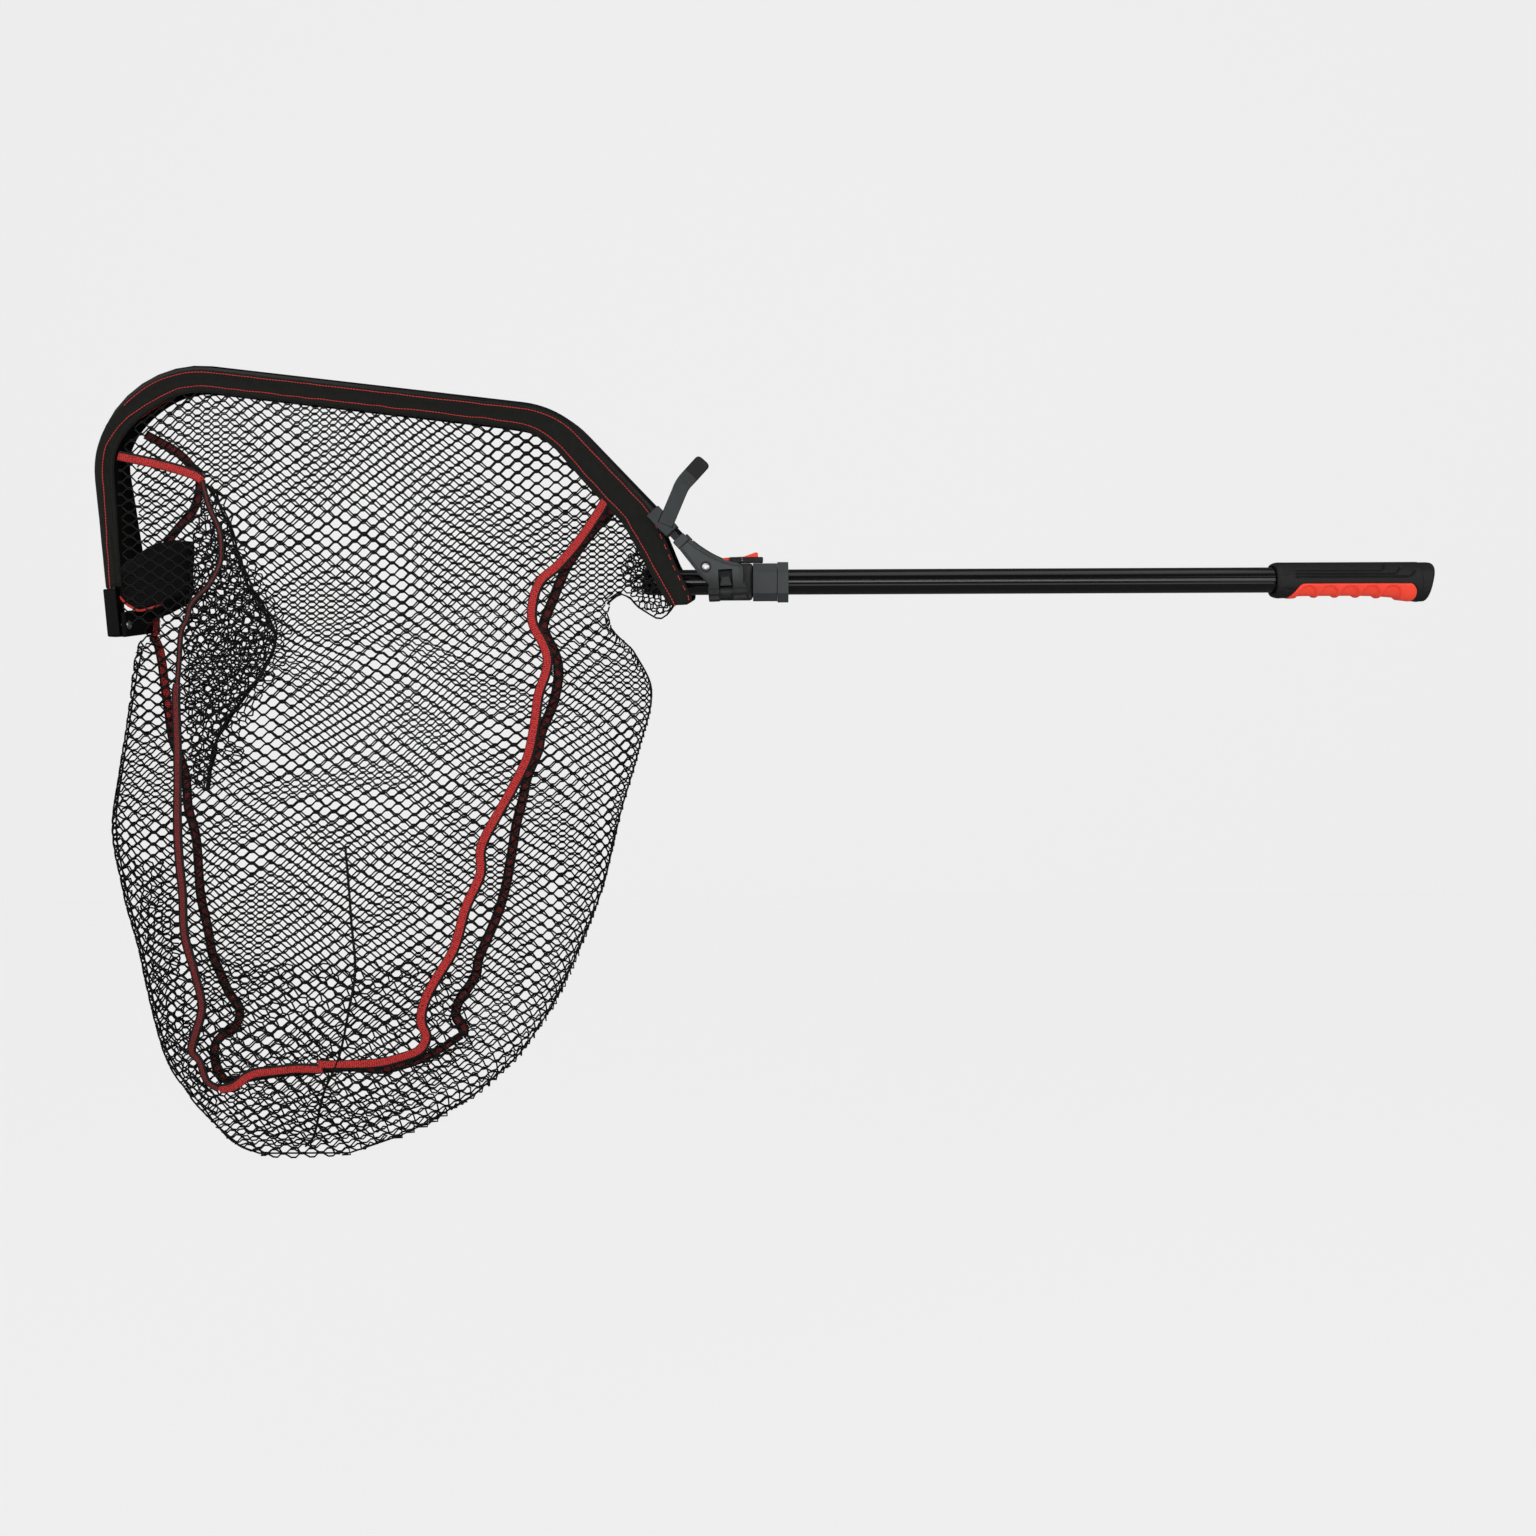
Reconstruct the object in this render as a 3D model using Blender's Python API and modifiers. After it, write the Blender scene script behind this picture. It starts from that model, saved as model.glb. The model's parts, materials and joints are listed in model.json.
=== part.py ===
"""Folding landing net: a hoop of two hinged halves on a yoke that slides along a grooved pole.

Metres, +Z up. The pole lies along X with the grip at the +X end and the hoop at the -X end.
The origin is on the pole's axis in the middle of the grip. The hoop is shown folded, with both
halves standing up and leaning together, and the bag hanging below the pole.
"""
import math

import bmesh
import bpy
from mathutils import Matrix, Vector

# Shared clearances
GAP = 0.0003
RUNNING = 0.00035
OVERRUN = 0.010
MERGE_DISTANCE = 0.00001

# Pole and grip, on the pole's axis
POLE_RADIUS = 0.013
POLE_WALL = 0.0026
GROOVE_WIDTH = 0.0062
GROOVE_DEPTH = 0.0012
POLE_FRONT_X = -0.707
GRIP_FRONT_X = -0.083
GRIP_BACK_X = 0.060
GRIP_SOCKET_DEPTH = 0.020
GRIP_HALF_WIDTH = 0.0165
GRIP_TOP = 0.0175
GRIP_WAIST_BOTTOM = 0.0176
GRIP_FRONT_BOTTOM = 0.0188
GRIP_BUTT_BOTTOM = 0.0226
CORE_LAP = 0.030
PLUG_FLANGE = 0.004
PLUG_SPIGOT = 0.016
INLAY_DEPTH = 0.0026
INLAY_FRONT = 0.023
INLAY_BACK = 0.0018
INLAY_TOP = -0.0034
INLAY_CORNER = 0.0085
INLAY_FRONT_LEAN = 0.74
INLAY_BACK_LEAN = 0.35
INLAY_STEPS = 6
INLAY_SCALLOPS = 5
SCALLOP_RADIUS = 0.011
SCALLOP_DEPTH = 0.0017
GRIP_POINTS = 28
GRIP_FULLNESS = 0.8
GRIP_SHOULDER = 0.006
GRIP_SHOULDER_ROUND = 0.0018
BUTT_LENGTH = 0.0157
BUTT_SLANT = 12.0
BUTT_STEP = 0.0004
BUTT_ROUND = 0.0050

# Fold axes: one down each side of the pole, dipping towards the tip
HINGE_X = -0.626
HINGE_Z = -0.0088
HINGE_HALF = 0.030
HINGE_DIP = 2.9
HALF_LEAN = 5.1
PIN_RADIUS = 0.0032

# Hoop half, in its own plane: u runs along the fold axis towards the grip, w away from it
BAR_WIDTH = 0.009
BAR_DEPTH = 0.009
BAR_GROOVE = 0.0035
FRONT_FOOT_U = -0.602
FRONT_FOOT_W = -0.011
FRONT_CORNER = (-0.6277, 0.2742)
REAR_CORNER = (-0.1576, 0.1927)
CORNER_RADIUS = 0.100
RIVET_U = -0.0203
RIVET_W = 0.0252
HEM_WIDTH = 0.027
HEM_FRONT_WIDTH = 0.011
HEM_THICK = 0.005
HEM_LEAVES_BAR = 0.090
HEM_END_U = -0.035
HEM_END_WIDTH = 0.022
HEM_FOOT_W = 0.005
NET_THICK = 0.003

# Arms of the yoke
ARM_THICK = 0.015
ARM_FRONT_U = -0.019
ARM_BACK_U = 0.0185
ARM_PLATE_BACK_U = 0.0156
ARM_PLATE_CORNER = 0.004
ARM_SHOULDER = 0.0098
ARM_ROUND = 0.0012
ARM_TOP_W = 0.0274
ARM_CREST_W = 0.0308
KNUCKLE_RADIUS = 0.0085
KNUCKLE_HEEL_W = 0.008
WINDOW_FRONT_U = -0.0085
WINDOW_BACK_U = 0.0052
WINDOW_TOP_W = 0.0220
SOCKET_HALF = 0.0069
SOCKET_LENGTH = 0.0305
SOCKET_CAP = 0.009
RIVET_RADIUS = 0.0024
RIVET_HEAD = 0.0034
RIVET_HEAD_RISE = 0.001
BAR_PAST_RIVET = 0.0084
HINGE_PIN_INSET = 0.0005

# Yoke: saddle, collar, button and latches
SADDLE_FRONT_X = -0.6445
COLLAR_FRONT_X = -0.602
COLLAR_BACK_X = -0.578
RING_BACK_X = -0.567
SADDLE_HALF_WIDTH = 0.0185
SADDLE_TOP = 0.0187
SADDLE_BOTTOM = -0.0178
LUG_RADIUS = 0.0056
SADDLE_ROUND = 0.003
WEB_INSET = 0.0006
WEB_LAP = 0.002
BUSH_WALL = 0.0017
COLLAR_HALF_WIDTH = 0.022
COLLAR_FLAT = 0.0105
COLLAR_CHAMFER = 0.008
COLLAR_ROUND = 0.0008
RING_STEP = 0.0012
RING_ROUND = 0.0012
HOUSING_FRONT_X = -0.6255
HOUSING_BACK_X = -0.592
HOUSING_HALF_WIDTH = 0.0092
HOUSING_WALL = 0.002
HOUSING_HEIGHT = 0.0062
HOUSING_ROUND = 0.0012
BUTTON_PIVOT_X = -0.613
BUTTON_PIVOT_RISE = 0.0040
BUTTON_FRONT_X = -0.631
BUTTON_BACK_X = -0.597
BUTTON_RELIEF = 0.004
BUTTON_RISE = 0.0110
BUTTON_TRAVEL = 0.0009
BUTTON_SPRING_ROOM = 0.0022
BUTTON_STRIP_THICK = 0.0026
BUTTON_PAD_EDGE = 0.001
BUTTON_PAD_FLAT = 0.002
BUTTON_RAMP_RISE = 0.0012
BUTTON_SIDE_GAP = 0.0005
BUTTON_SPRING_RADIUS = 0.0022
BUTTON_SPRING_FROM_END = 0.006
BUTTON_SPRING_TURNS = 3
BUTTON_PIN_RADIUS = 0.0011
LOCK_PIN_X = -0.6208
LOCK_PIN_RADIUS = 0.0018
LOCK_SWING = 0.0016
LATCH_REACH = 0.0060
LATCH_INNER = 0.0040
LATCH_TOP_W = 0.0155
LATCH_FOOT_W = 0.0062
LATCH_TAPER = 0.0022
STEM_RADIUS = 0.0017
STEM_LENGTH = 0.0086
STEM_LAP = 0.001
LATCH_TRAVEL = 0.0036
LATCH_ROUND = 0.0006
LATCH_SPRING_AROUND_STEM = 0.001
SPRING_WIRE = 0.0005
SPRING_TURNS = 4

# Strap and its clip on the near bar
CLIP_FROM_CAP = 0.0081
CLIP_LENGTH = 0.028
CLIP_WIDTH = 0.0152
CLIP_THICK = 0.0165
CLIP_LIP = 0.0006
STRAP_WIDTH = 0.0150
STRAP_THICK = 0.003
STRAP_STEM = 0.031
STRAP_TIP = 0.032
STRAP_STEM_ANGLE = 64.5
STRAP_TIP_ANGLE = 45.0
STRAP_ROOT = 0.012
STRAP_ROUND = 0.001
ROOT_ROUND = 0.0006
CLIP_ROUND = 0.001

# Tip of the hoop: an end fitting on each bar and the link plate between them
FITTING_LENGTH = 0.047
FITTING_THICK = 0.0150
FITTING_WALL = 0.0016
FITTING_ROUND = 0.0012
BAR_FOOT_W = 0.012
LINK_HALF_WIDTH = 0.036
LINK_THICK = 0.0045
LINK_TOP_W = 0.013
LINK_BOTTOM_W = -0.0115
LINK_ROUND = 0.001
TIP_PIN_RADIUS = 0.003
TIP_PIN_WALL = 0.0045
TIP_PIN_HEAD = 0.0042
TIP_PIN_HEAD_RISE = 0.0016
FLAP_LENGTH = 0.070
FLAP_HALF_WIDTH = 0.0195
FLAP_THICK = 0.0024
FLAP_TOP = 0.070
FLAP_BOTTOM = 0.008

# Bag: depth below the fold axis, front and back edge along X, and half thickness, from rim to foot
BAG_RIM_W = -0.005
BAG_WALL = 0.003
BAG_LEVELS = [
    (0.000, -1.195, -0.743, 0.031),
    (0.090, -1.224, -0.706, 0.041),
    (0.205, -1.239, -0.734, 0.060),
    (0.325, -1.214, -0.774, 0.066),
    (0.435, -1.187, -0.835, 0.056),
    (0.500, -1.151, -0.905, 0.038),
    (0.535, -1.110, -0.985, 0.020),
]
BAG_SAG = 0.018
BAG_ROUNDNESS = 2.4
PANEL_EDGE = 52.0
SEAM_TRIM = 0.5
FLOOR_DEPTH = 0.435
FLOOR_SEAM = 0.004
MESH_BAR = 0.012
MESH_PITCH = 0.040
SIDE_OPENINGS = 9
END_OPENINGS = 3
OPENINGS_DOWN = 11
BRIDGE_HALF_WIDTH = 0.031
BRIDGE_THICK = 0.0024
BRIDGE_DROP = 0.004
BRIDGE_CORNER = 0.006
BRIDGE_CORNER_RISE = 0.002

for old in list(bpy.data.objects):
    bpy.data.objects.remove(old, do_unlink=True)

part_collection = bpy.data.collections.new("landing_net")
cutter_collection = bpy.data.collections.new("cutters")
bpy.context.scene.collection.children.link(part_collection)
bpy.context.scene.collection.children.link(cutter_collection)


def material(name, colour, roughness, metallic=0.0):
    """A plain Principled material."""
    mat = bpy.data.materials.new(name)
    mat.use_nodes = True
    shader = mat.node_tree.nodes["Principled BSDF"]
    shader.inputs["Base Color"].default_value = (*colour, 1.0)
    shader.inputs["Roughness"].default_value = roughness
    shader.inputs["Metallic"].default_value = metallic
    return mat


BLACK_ALLOY = material("black_alloy", (0.008, 0.008, 0.009), 0.28, 0.6)
BLACK_PLASTIC = material("black_plastic", (0.016, 0.017, 0.017), 0.5)
GREY_PLASTIC = material("grey_plastic", (0.05, 0.058, 0.06), 0.55)
GRIP_RUBBER = material("grip_rubber", (0.03, 0.032, 0.031), 0.7)
RED_RUBBER = material("red_rubber", (0.8, 0.06, 0.03), 0.55)
STEEL = material("steel", (0.75, 0.75, 0.74), 0.25, 1.0)
HEM_FABRIC = material("hem_fabric", (0.019, 0.019, 0.018), 0.9)
NET_MESH = material("net_mesh", (0.007, 0.008, 0.007), 0.8)
STRAP_RUBBER = material("strap_rubber", (0.045, 0.052, 0.054), 0.65)


def fold_frame(name, side):
    """An empty on one fold axis. side is -1 for the near half and +1 for the far half."""
    empty = bpy.data.objects.new(name, None)
    part_collection.objects.link(empty)
    dip = Matrix.Rotation(math.radians(-HINGE_DIP), 4, "Y")
    place = Matrix.Translation((HINGE_X, side * HINGE_HALF, HINGE_Z))
    empty.matrix_world = place @ dip
    return empty


def leaning_frame(name, side):
    """The same axis, turned so that the half leans in towards the other one."""
    empty = fold_frame(name, side)
    empty.matrix_world = empty.matrix_world @ Matrix.Rotation(math.radians(side * HALF_LEAN), 4, "X")
    return empty


def add_object(name, mesh, mat, parent=None, matrix=None):
    """Link a mesh as a part, in its parent's frame."""
    obj = bpy.data.objects.new(name, mesh)
    part_collection.objects.link(obj)
    mesh.materials.clear()
    mesh.materials.append(mat)
    if parent:
        obj.parent = parent
    if matrix:
        obj.matrix_local = matrix
    return obj


def as_cutter(obj):
    """Move an object to the cutters, out of the build."""
    for owner in list(obj.users_collection):
        owner.objects.unlink(obj)
    cutter_collection.objects.link(obj)
    obj.hide_render = True
    obj.display_type = "WIRE"
    return obj


def combine(obj, other, operation):
    """Boolean of obj with another object, which becomes a guide."""
    modifier = obj.modifiers.new(operation.lower(), "BOOLEAN")
    modifier.operation = operation
    modifier.object = as_cutter(other)
    return obj


def soften(obj, width, segments=2, angle=35):
    """Round the sharp edges."""
    modifier = obj.modifiers.new("round", "BEVEL")
    modifier.width = width
    modifier.segments = segments
    modifier.limit_method = "ANGLE"
    modifier.angle_limit = math.radians(angle)
    return obj


def curve_mesh(curve_object):
    """Turn a curve object into a welded mesh and drop the curve."""
    bpy.context.view_layer.update()
    depsgraph = bpy.context.evaluated_depsgraph_get()
    mesh = bpy.data.meshes.new_from_object(curve_object.evaluated_get(depsgraph))
    data = curve_object.data
    bpy.data.objects.remove(curve_object, do_unlink=True)
    bpy.data.curves.remove(data)
    bm = bmesh.new()
    bm.from_mesh(mesh)
    bmesh.ops.remove_doubles(bm, verts=bm.verts, dist=MERGE_DISTANCE)
    bmesh.ops.recalc_face_normals(bm, faces=bm.faces)
    bm.to_mesh(mesh)
    bm.free()
    return mesh


def extrude_outline(loops, thickness):
    """A flat outline, with holes, drawn in XY and extruded evenly about Z."""
    data = bpy.data.curves.new("outline", "CURVE")
    data.dimensions = "2D"
    data.fill_mode = "BOTH"
    data.extrude = thickness / 2
    for loop in loops:
        spline = data.splines.new("POLY")
        spline.points.add(len(loop) - 1)
        for point, (x, y) in zip(spline.points, loop):
            point.co = (x, y, 0.0, 1.0)
        spline.use_cyclic_u = True
    obj = bpy.data.objects.new("outline", data)
    part_collection.objects.link(obj)
    return curve_mesh(obj)


# An outline's XY is laid in a half's plane (u, w), or across the pole (Y, Z)
IN_PLANE = Matrix.Rotation(math.radians(90), 4, "X")
ACROSS = Matrix.Rotation(math.radians(90), 4, "Z") @ Matrix.Rotation(math.radians(90), 4, "X")
ALONG_X = Matrix.Rotation(math.radians(90), 4, "Y")
ALONG_Y = Matrix.Rotation(math.radians(-90), 4, "X")


def at(x, y, z):
    return Matrix.Translation((x, y, z))


def circle(radius, count=32, centre=(0.0, 0.0)):
    """Points round a circle."""
    steps = [2 * math.pi * i / count for i in range(count)]
    return [(centre[0] + radius * math.cos(a), centre[1] + radius * math.sin(a)) for a in steps]


def turned(profile, count=32):
    """A turned solid about Z from (radius, height) points that run down its outer side."""
    mesh = bpy.data.meshes.new("profile")
    bm = bmesh.new()
    verts = [bm.verts.new((radius, 0.0, height)) for radius, height in profile]
    for first, second in zip(verts, verts[1:]):
        bm.edges.new((first, second))
    bm.to_mesh(mesh)
    bm.free()
    obj = bpy.data.objects.new("profile", mesh)
    part_collection.objects.link(obj)
    screw = obj.modifiers.new("turn", "SCREW")
    screw.steps = count
    screw.render_steps = count
    screw.use_merge_vertices = True
    screw.merge_threshold = MERGE_DISTANCE
    bpy.context.view_layer.update()
    depsgraph = bpy.context.evaluated_depsgraph_get()
    solid = bpy.data.meshes.new_from_object(obj.evaluated_get(depsgraph))
    bpy.data.objects.remove(obj, do_unlink=True)
    bpy.data.meshes.remove(mesh)
    solid.shade_smooth()
    solid.set_sharp_from_angle(angle=math.radians(35))
    return solid


def rod(radius, low, high, count=24):
    """A plain round rod along Z."""
    return turned([(0.0, high), (radius, high), (radius, low), (0.0, low)], count)


def headed_rod(radius, low, high, head_radius, head_rise, count=24):
    """A round rod along Z with a domed head on its top end."""
    top = high + head_rise
    crown = [(0.0, top), (head_radius * 0.6, top), (head_radius, high + head_rise * 0.4)]
    return turned(crown + [(head_radius, high), (radius, high), (radius, low), (0.0, low)], count)


def box(low, high):
    """A box between two corners."""
    mesh = bpy.data.meshes.new("box")
    bm = bmesh.new()
    bmesh.ops.create_cube(bm, size=1.0)
    size = Vector(high) - Vector(low)
    middle = (Vector(high) + Vector(low)) / 2
    bmesh.ops.scale(bm, vec=size, verts=bm.verts)
    bmesh.ops.translate(bm, vec=middle, verts=bm.verts)
    bm.to_mesh(mesh)
    bm.free()
    return mesh


def coil(radius, height, turns, wire):
    """A compression spring about Z, from 0 to its height."""
    steps = 10
    data = bpy.data.curves.new("coil", "CURVE")
    data.dimensions = "3D"
    data.bevel_depth = wire / 2
    data.bevel_resolution = 1
    data.use_fill_caps = True
    spline = data.splines.new("POLY")
    count = turns * steps + 1
    spline.points.add(count - 1)
    rise = height - wire
    for i, point in enumerate(spline.points):
        angle = 2 * math.pi * i / steps
        level = wire / 2 + rise * i / (count - 1)
        point.co = (radius * math.cos(angle), radius * math.sin(angle), level, 1.0)
    obj = bpy.data.objects.new("coil", data)
    part_collection.objects.link(obj)
    return curve_mesh(obj)


CORNER_STEPS = 10


def fillet_path(points, radii, steps=CORNER_STEPS):
    """A polyline through corner points, each inner corner rounded to its radius."""
    path = [Vector(points[0])]
    for before, corner, after, radius in zip(points, points[1:], points[2:], radii):
        corner = Vector(corner)
        back = (Vector(before) - corner).normalized()
        ahead = (Vector(after) - corner).normalized()
        half = back.angle(ahead) / 2
        centre = corner + (back + ahead).normalized() * (radius / math.sin(half))
        start = corner + back * (radius / math.tan(half)) - centre
        turn = math.pi - 2 * half
        side = 1 if back.x * ahead.y - back.y * ahead.x < 0 else -1
        for i in range(steps + 1):
            angle = side * turn * i / steps
            spin = Matrix.Rotation(angle, 2)
            path.append(centre + spin @ start)
    path.append(Vector(points[-1]))
    return path


def offset_path(path, distance):
    """A polyline moved sideways, to the right of its direction."""
    moved = []
    for i, point in enumerate(path):
        before = path[max(i - 1, 0)]
        after = path[min(i + 1, len(path) - 1)]
        along = (after - before).normalized()
        moved.append(point + Vector((along.y, -along.x)) * distance)
    return moved


def pairs(points):
    """Points as plain (x, y) pairs."""
    return [(p[0], p[1]) for p in points]


def sweep_bar(path, width, depth, groove):
    """A bar swept along a path in the XY plane, with a groove down its inner side."""
    section = bpy.data.curves.new("section", "CURVE")
    section.dimensions = "2D"
    half, deep, slot = width / 2, depth / 2, groove / 2
    chamfer = depth * 0.22
    outline = [(-half, -deep + chamfer), (-half + chamfer, -deep), (half, -deep), (half, -slot)]
    outline += [(half - groove * 0.6, -slot)] if groove else []
    outline += [(x, -y) for x, y in reversed(outline)]
    spline = section.splines.new("POLY")
    spline.points.add(len(outline) - 1)
    for point, (x, y) in zip(spline.points, outline):
        point.co = (x, y, 0.0, 1.0)
    spline.use_cyclic_u = True
    profile = bpy.data.objects.new("section", section)
    part_collection.objects.link(profile)
    data = bpy.data.curves.new("bar", "CURVE")
    data.dimensions = "2D"
    data.bevel_mode = "OBJECT"
    data.bevel_object = profile
    data.use_fill_caps = True
    run = data.splines.new("POLY")
    run.points.add(len(path) - 1)
    for point, place in zip(run.points, path):
        point.co = (place.x, place.y, 0.0, 1.0)
    obj = bpy.data.objects.new("bar", data)
    part_collection.objects.link(obj)
    mesh = curve_mesh(obj)
    bpy.data.objects.remove(profile, do_unlink=True)
    bpy.data.curves.remove(section)
    return mesh


# Pole: a grooved alloy tube, a plug in its front end and a core that carries the grip
POLE_BORE = POLE_RADIUS - POLE_WALL
POLE_BACK_X = GRIP_FRONT_X + GRIP_SOCKET_DEPTH - GAP


def grooved_ring(radius, clearance=0.0, count=72):
    """The pole's outline: a circle with a groove on each quarter."""
    points = []
    for i in range(count):
        angle = 2 * math.pi * i / count
        quarter = abs((angle + math.pi / 4) % (math.pi / 2) - math.pi / 4)
        in_groove = radius * math.sin(quarter) < GROOVE_WIDTH / 2 - clearance
        reach = radius - GROOVE_DEPTH if in_groove else radius
        points.append(((reach + clearance) * math.cos(angle), (reach + clearance) * math.sin(angle)))
    return points


pole_length = POLE_BACK_X - POLE_FRONT_X
pole_mesh = extrude_outline([grooved_ring(POLE_RADIUS), circle(POLE_BORE, 36)], pole_length)
add_object("pole_tube", pole_mesh, BLACK_ALLOY, None, at(POLE_FRONT_X + pole_length / 2, 0, 0) @ ACROSS)

plug_radius = POLE_RADIUS - GROOVE_DEPTH
plug_profile = [(0.0, PLUG_SPIGOT), (POLE_BORE - GAP, PLUG_SPIGOT), (POLE_BORE - GAP, -GAP)]
plug_profile += [(plug_radius, -GAP), (plug_radius, -PLUG_FLANGE * 0.6)]
plug_profile += [(plug_radius * 0.85, -PLUG_FLANGE), (0.0, -PLUG_FLANGE)]
add_object("pole_plug", turned(plug_profile), BLACK_PLASTIC, None, at(POLE_FRONT_X, 0, 0) @ ALONG_X)

core_radius = POLE_BORE - GAP
core_start = POLE_BACK_X - CORE_LAP
core_mesh = rod(core_radius, core_start, GRIP_BACK_X - GAP)
add_object("grip_core", core_mesh, BLACK_PLASTIC, None, ALONG_X)


def grip_bottom(x):
    """How far the grip reaches below the axis: a front swell, a waist and a flared butt."""
    t = (x - GRIP_FRONT_X) / (GRIP_BACK_X - GRIP_FRONT_X)
    front = max(0.0, 1 - t / 0.3) ** 2
    butt = max(0.0, (t - 0.55) / 0.45) ** 2
    swell = front * (GRIP_FRONT_BOTTOM - GRIP_WAIST_BOTTOM)
    return GRIP_WAIST_BOTTOM + swell + butt * (GRIP_BUTT_BOTTOM - GRIP_WAIST_BOTTOM)


def grip_section(wide, top, bottom):
    """Points round the grip's section, an oval with fuller corners."""
    points = []
    for k in range(GRIP_POINTS):
        angle = 2 * math.pi * k / GRIP_POINTS
        c, s = math.cos(angle), math.sin(angle)
        y = wide * math.copysign(abs(c) ** GRIP_FULLNESS, c)
        z = (top if s > 0 else bottom) * math.copysign(abs(s) ** GRIP_FULLNESS, s)
        points.append((y, z))
    return points


def loft(rings):
    """A closed solid through rings of points."""
    mesh = bpy.data.meshes.new("loft")
    bm = bmesh.new()
    rings = [[bm.verts.new(point) for point in ring] for ring in rings]
    count = len(rings[0])
    for ring, following in zip(rings, rings[1:]):
        for k in range(count):
            n = (k + 1) % count
            bm.faces.new((ring[k], ring[n], following[n], following[k]))
    bm.faces.new(list(reversed(rings[0])))
    bm.faces.new(rings[-1])
    bmesh.ops.recalc_face_normals(bm, faces=bm.faces)
    bm.to_mesh(mesh)
    bm.free()
    return mesh


def grip_loft(inset, stations=22):
    """The grip's outer form, drawn in by an inset all round."""
    rings = []
    length = GRIP_BACK_X - GRIP_FRONT_X
    for i in range(stations + 1):
        from_front = length * i / stations
        x = GRIP_FRONT_X + from_front
        drawn_in = inset + GRIP_SHOULDER_ROUND * max(0.0, 1 - from_front / GRIP_SHOULDER) ** 2
        section = grip_section(GRIP_HALF_WIDTH - drawn_in, GRIP_TOP - drawn_in, grip_bottom(x) - drawn_in)
        rings.append([(x, y, z) for y, z in section])
    return loft(rings)


def inlay_outline(grow):
    """The inlay's side view: a straight top and round ends; it runs out below the grip."""
    left = GRIP_FRONT_X + INLAY_FRONT - grow
    right = GRIP_BACK_X - INLAY_BACK + grow
    top = INLAY_TOP + grow
    low = -2 * GRIP_BUTT_BOTTOM
    foot_front = (left - INLAY_FRONT_LEAN * (top - low), low)
    foot_back = (right - INLAY_BACK_LEAN * (top - low), low)
    return pairs(fillet_path([foot_front, (left, top), (right, top), foot_back],
                             [INLAY_CORNER, INLAY_CORNER], INLAY_STEPS))


# Grip: a rubber sleeve with a pocket for the soft red inlay under the fingers
grip = add_object("grip_body", grip_loft(0.0), GRIP_RUBBER)
pocket_mesh = extrude_outline([inlay_outline(GAP)], 4 * GRIP_HALF_WIDTH)
pocket = add_object("pocket_tool", pocket_mesh, RED_RUBBER, None, IN_PLANE)
combine(pocket, add_object("pocket_core", grip_loft(INLAY_DEPTH), RED_RUBBER), "DIFFERENCE")
combine(grip, pocket, "DIFFERENCE")
bore_mesh = rod(core_radius + GAP, GRIP_FRONT_X - GAP, GRIP_BACK_X + GAP)
combine(grip, add_object("grip_bore", bore_mesh, GRIP_RUBBER, None, ALONG_X), "DIFFERENCE")
socket_mesh = rod(POLE_RADIUS + GAP, GRIP_FRONT_X - GAP, GRIP_FRONT_X + GRIP_SOCKET_DEPTH)
combine(grip, add_object("grip_socket", socket_mesh, GRIP_RUBBER, None, ALONG_X), "DIFFERENCE")

inlay = add_object("grip_inlay", grip_loft(0.0), RED_RUBBER)
inlay_tool = add_object("inlay_tool", extrude_outline([inlay_outline(0.0)], 4 * GRIP_HALF_WIDTH), RED_RUBBER,
                        None, IN_PLANE)
combine(inlay, inlay_tool, "INTERSECT")
combine(inlay, add_object("inlay_core", grip_loft(INLAY_DEPTH - GAP), RED_RUBBER), "DIFFERENCE")
scallop_step = (GRIP_BACK_X - INLAY_BACK - GRIP_FRONT_X - INLAY_FRONT) / (INLAY_SCALLOPS + 0.6)
for i in range(INLAY_SCALLOPS):
    scallop_x = GRIP_FRONT_X + INLAY_FRONT + scallop_step * (i + 0.7)
    scallop_z = -grip_bottom(scallop_x) - SCALLOP_RADIUS + SCALLOP_DEPTH
    scallop_mesh = rod(SCALLOP_RADIUS, -2 * GRIP_HALF_WIDTH, 2 * GRIP_HALF_WIDTH, 20)
    scallop_place = at(scallop_x, 0, scallop_z) @ ALONG_Y
    combine(inlay, add_object(f"scallop_{i}", scallop_mesh, RED_RUBBER, None, scallop_place), "DIFFERENCE")

# Butt cap: closes the grip in the same section, with a rounded rim and a slanted flat end
butt_top = GRIP_TOP - BUTT_STEP
butt_bottom = GRIP_BUTT_BOTTOM - BUTT_STEP
butt_start = GRIP_BACK_X + GAP
butt_slope = math.tan(math.radians(BUTT_SLANT))
BUTT_STEPS = 5


def butt_loft():
    """Sections from the grip's end to the slanted face. The last ones draw in along a quarter round."""
    rim = BUTT_ROUND / BUTT_LENGTH
    shares = [(0.0, 0.0)]
    for i in range(BUTT_STEPS + 1):
        turn = math.pi / 2 * i / BUTT_STEPS
        shares.append((1 - rim + rim * math.sin(turn), BUTT_ROUND * (1 - math.cos(turn))))
    rings = []
    for share, drawn_in in shares:
        ring = []
        for y, z in grip_section(GRIP_HALF_WIDTH - BUTT_STEP - drawn_in, butt_top - drawn_in,
                                 butt_bottom - drawn_in):
            reach = BUTT_LENGTH - butt_slope * (butt_top - z)
            ring.append((butt_start + share * reach, y, z))
        rings.append(ring)
    return loft(rings)


add_object("butt_cap", butt_loft(), GRIP_RUBBER)

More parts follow.
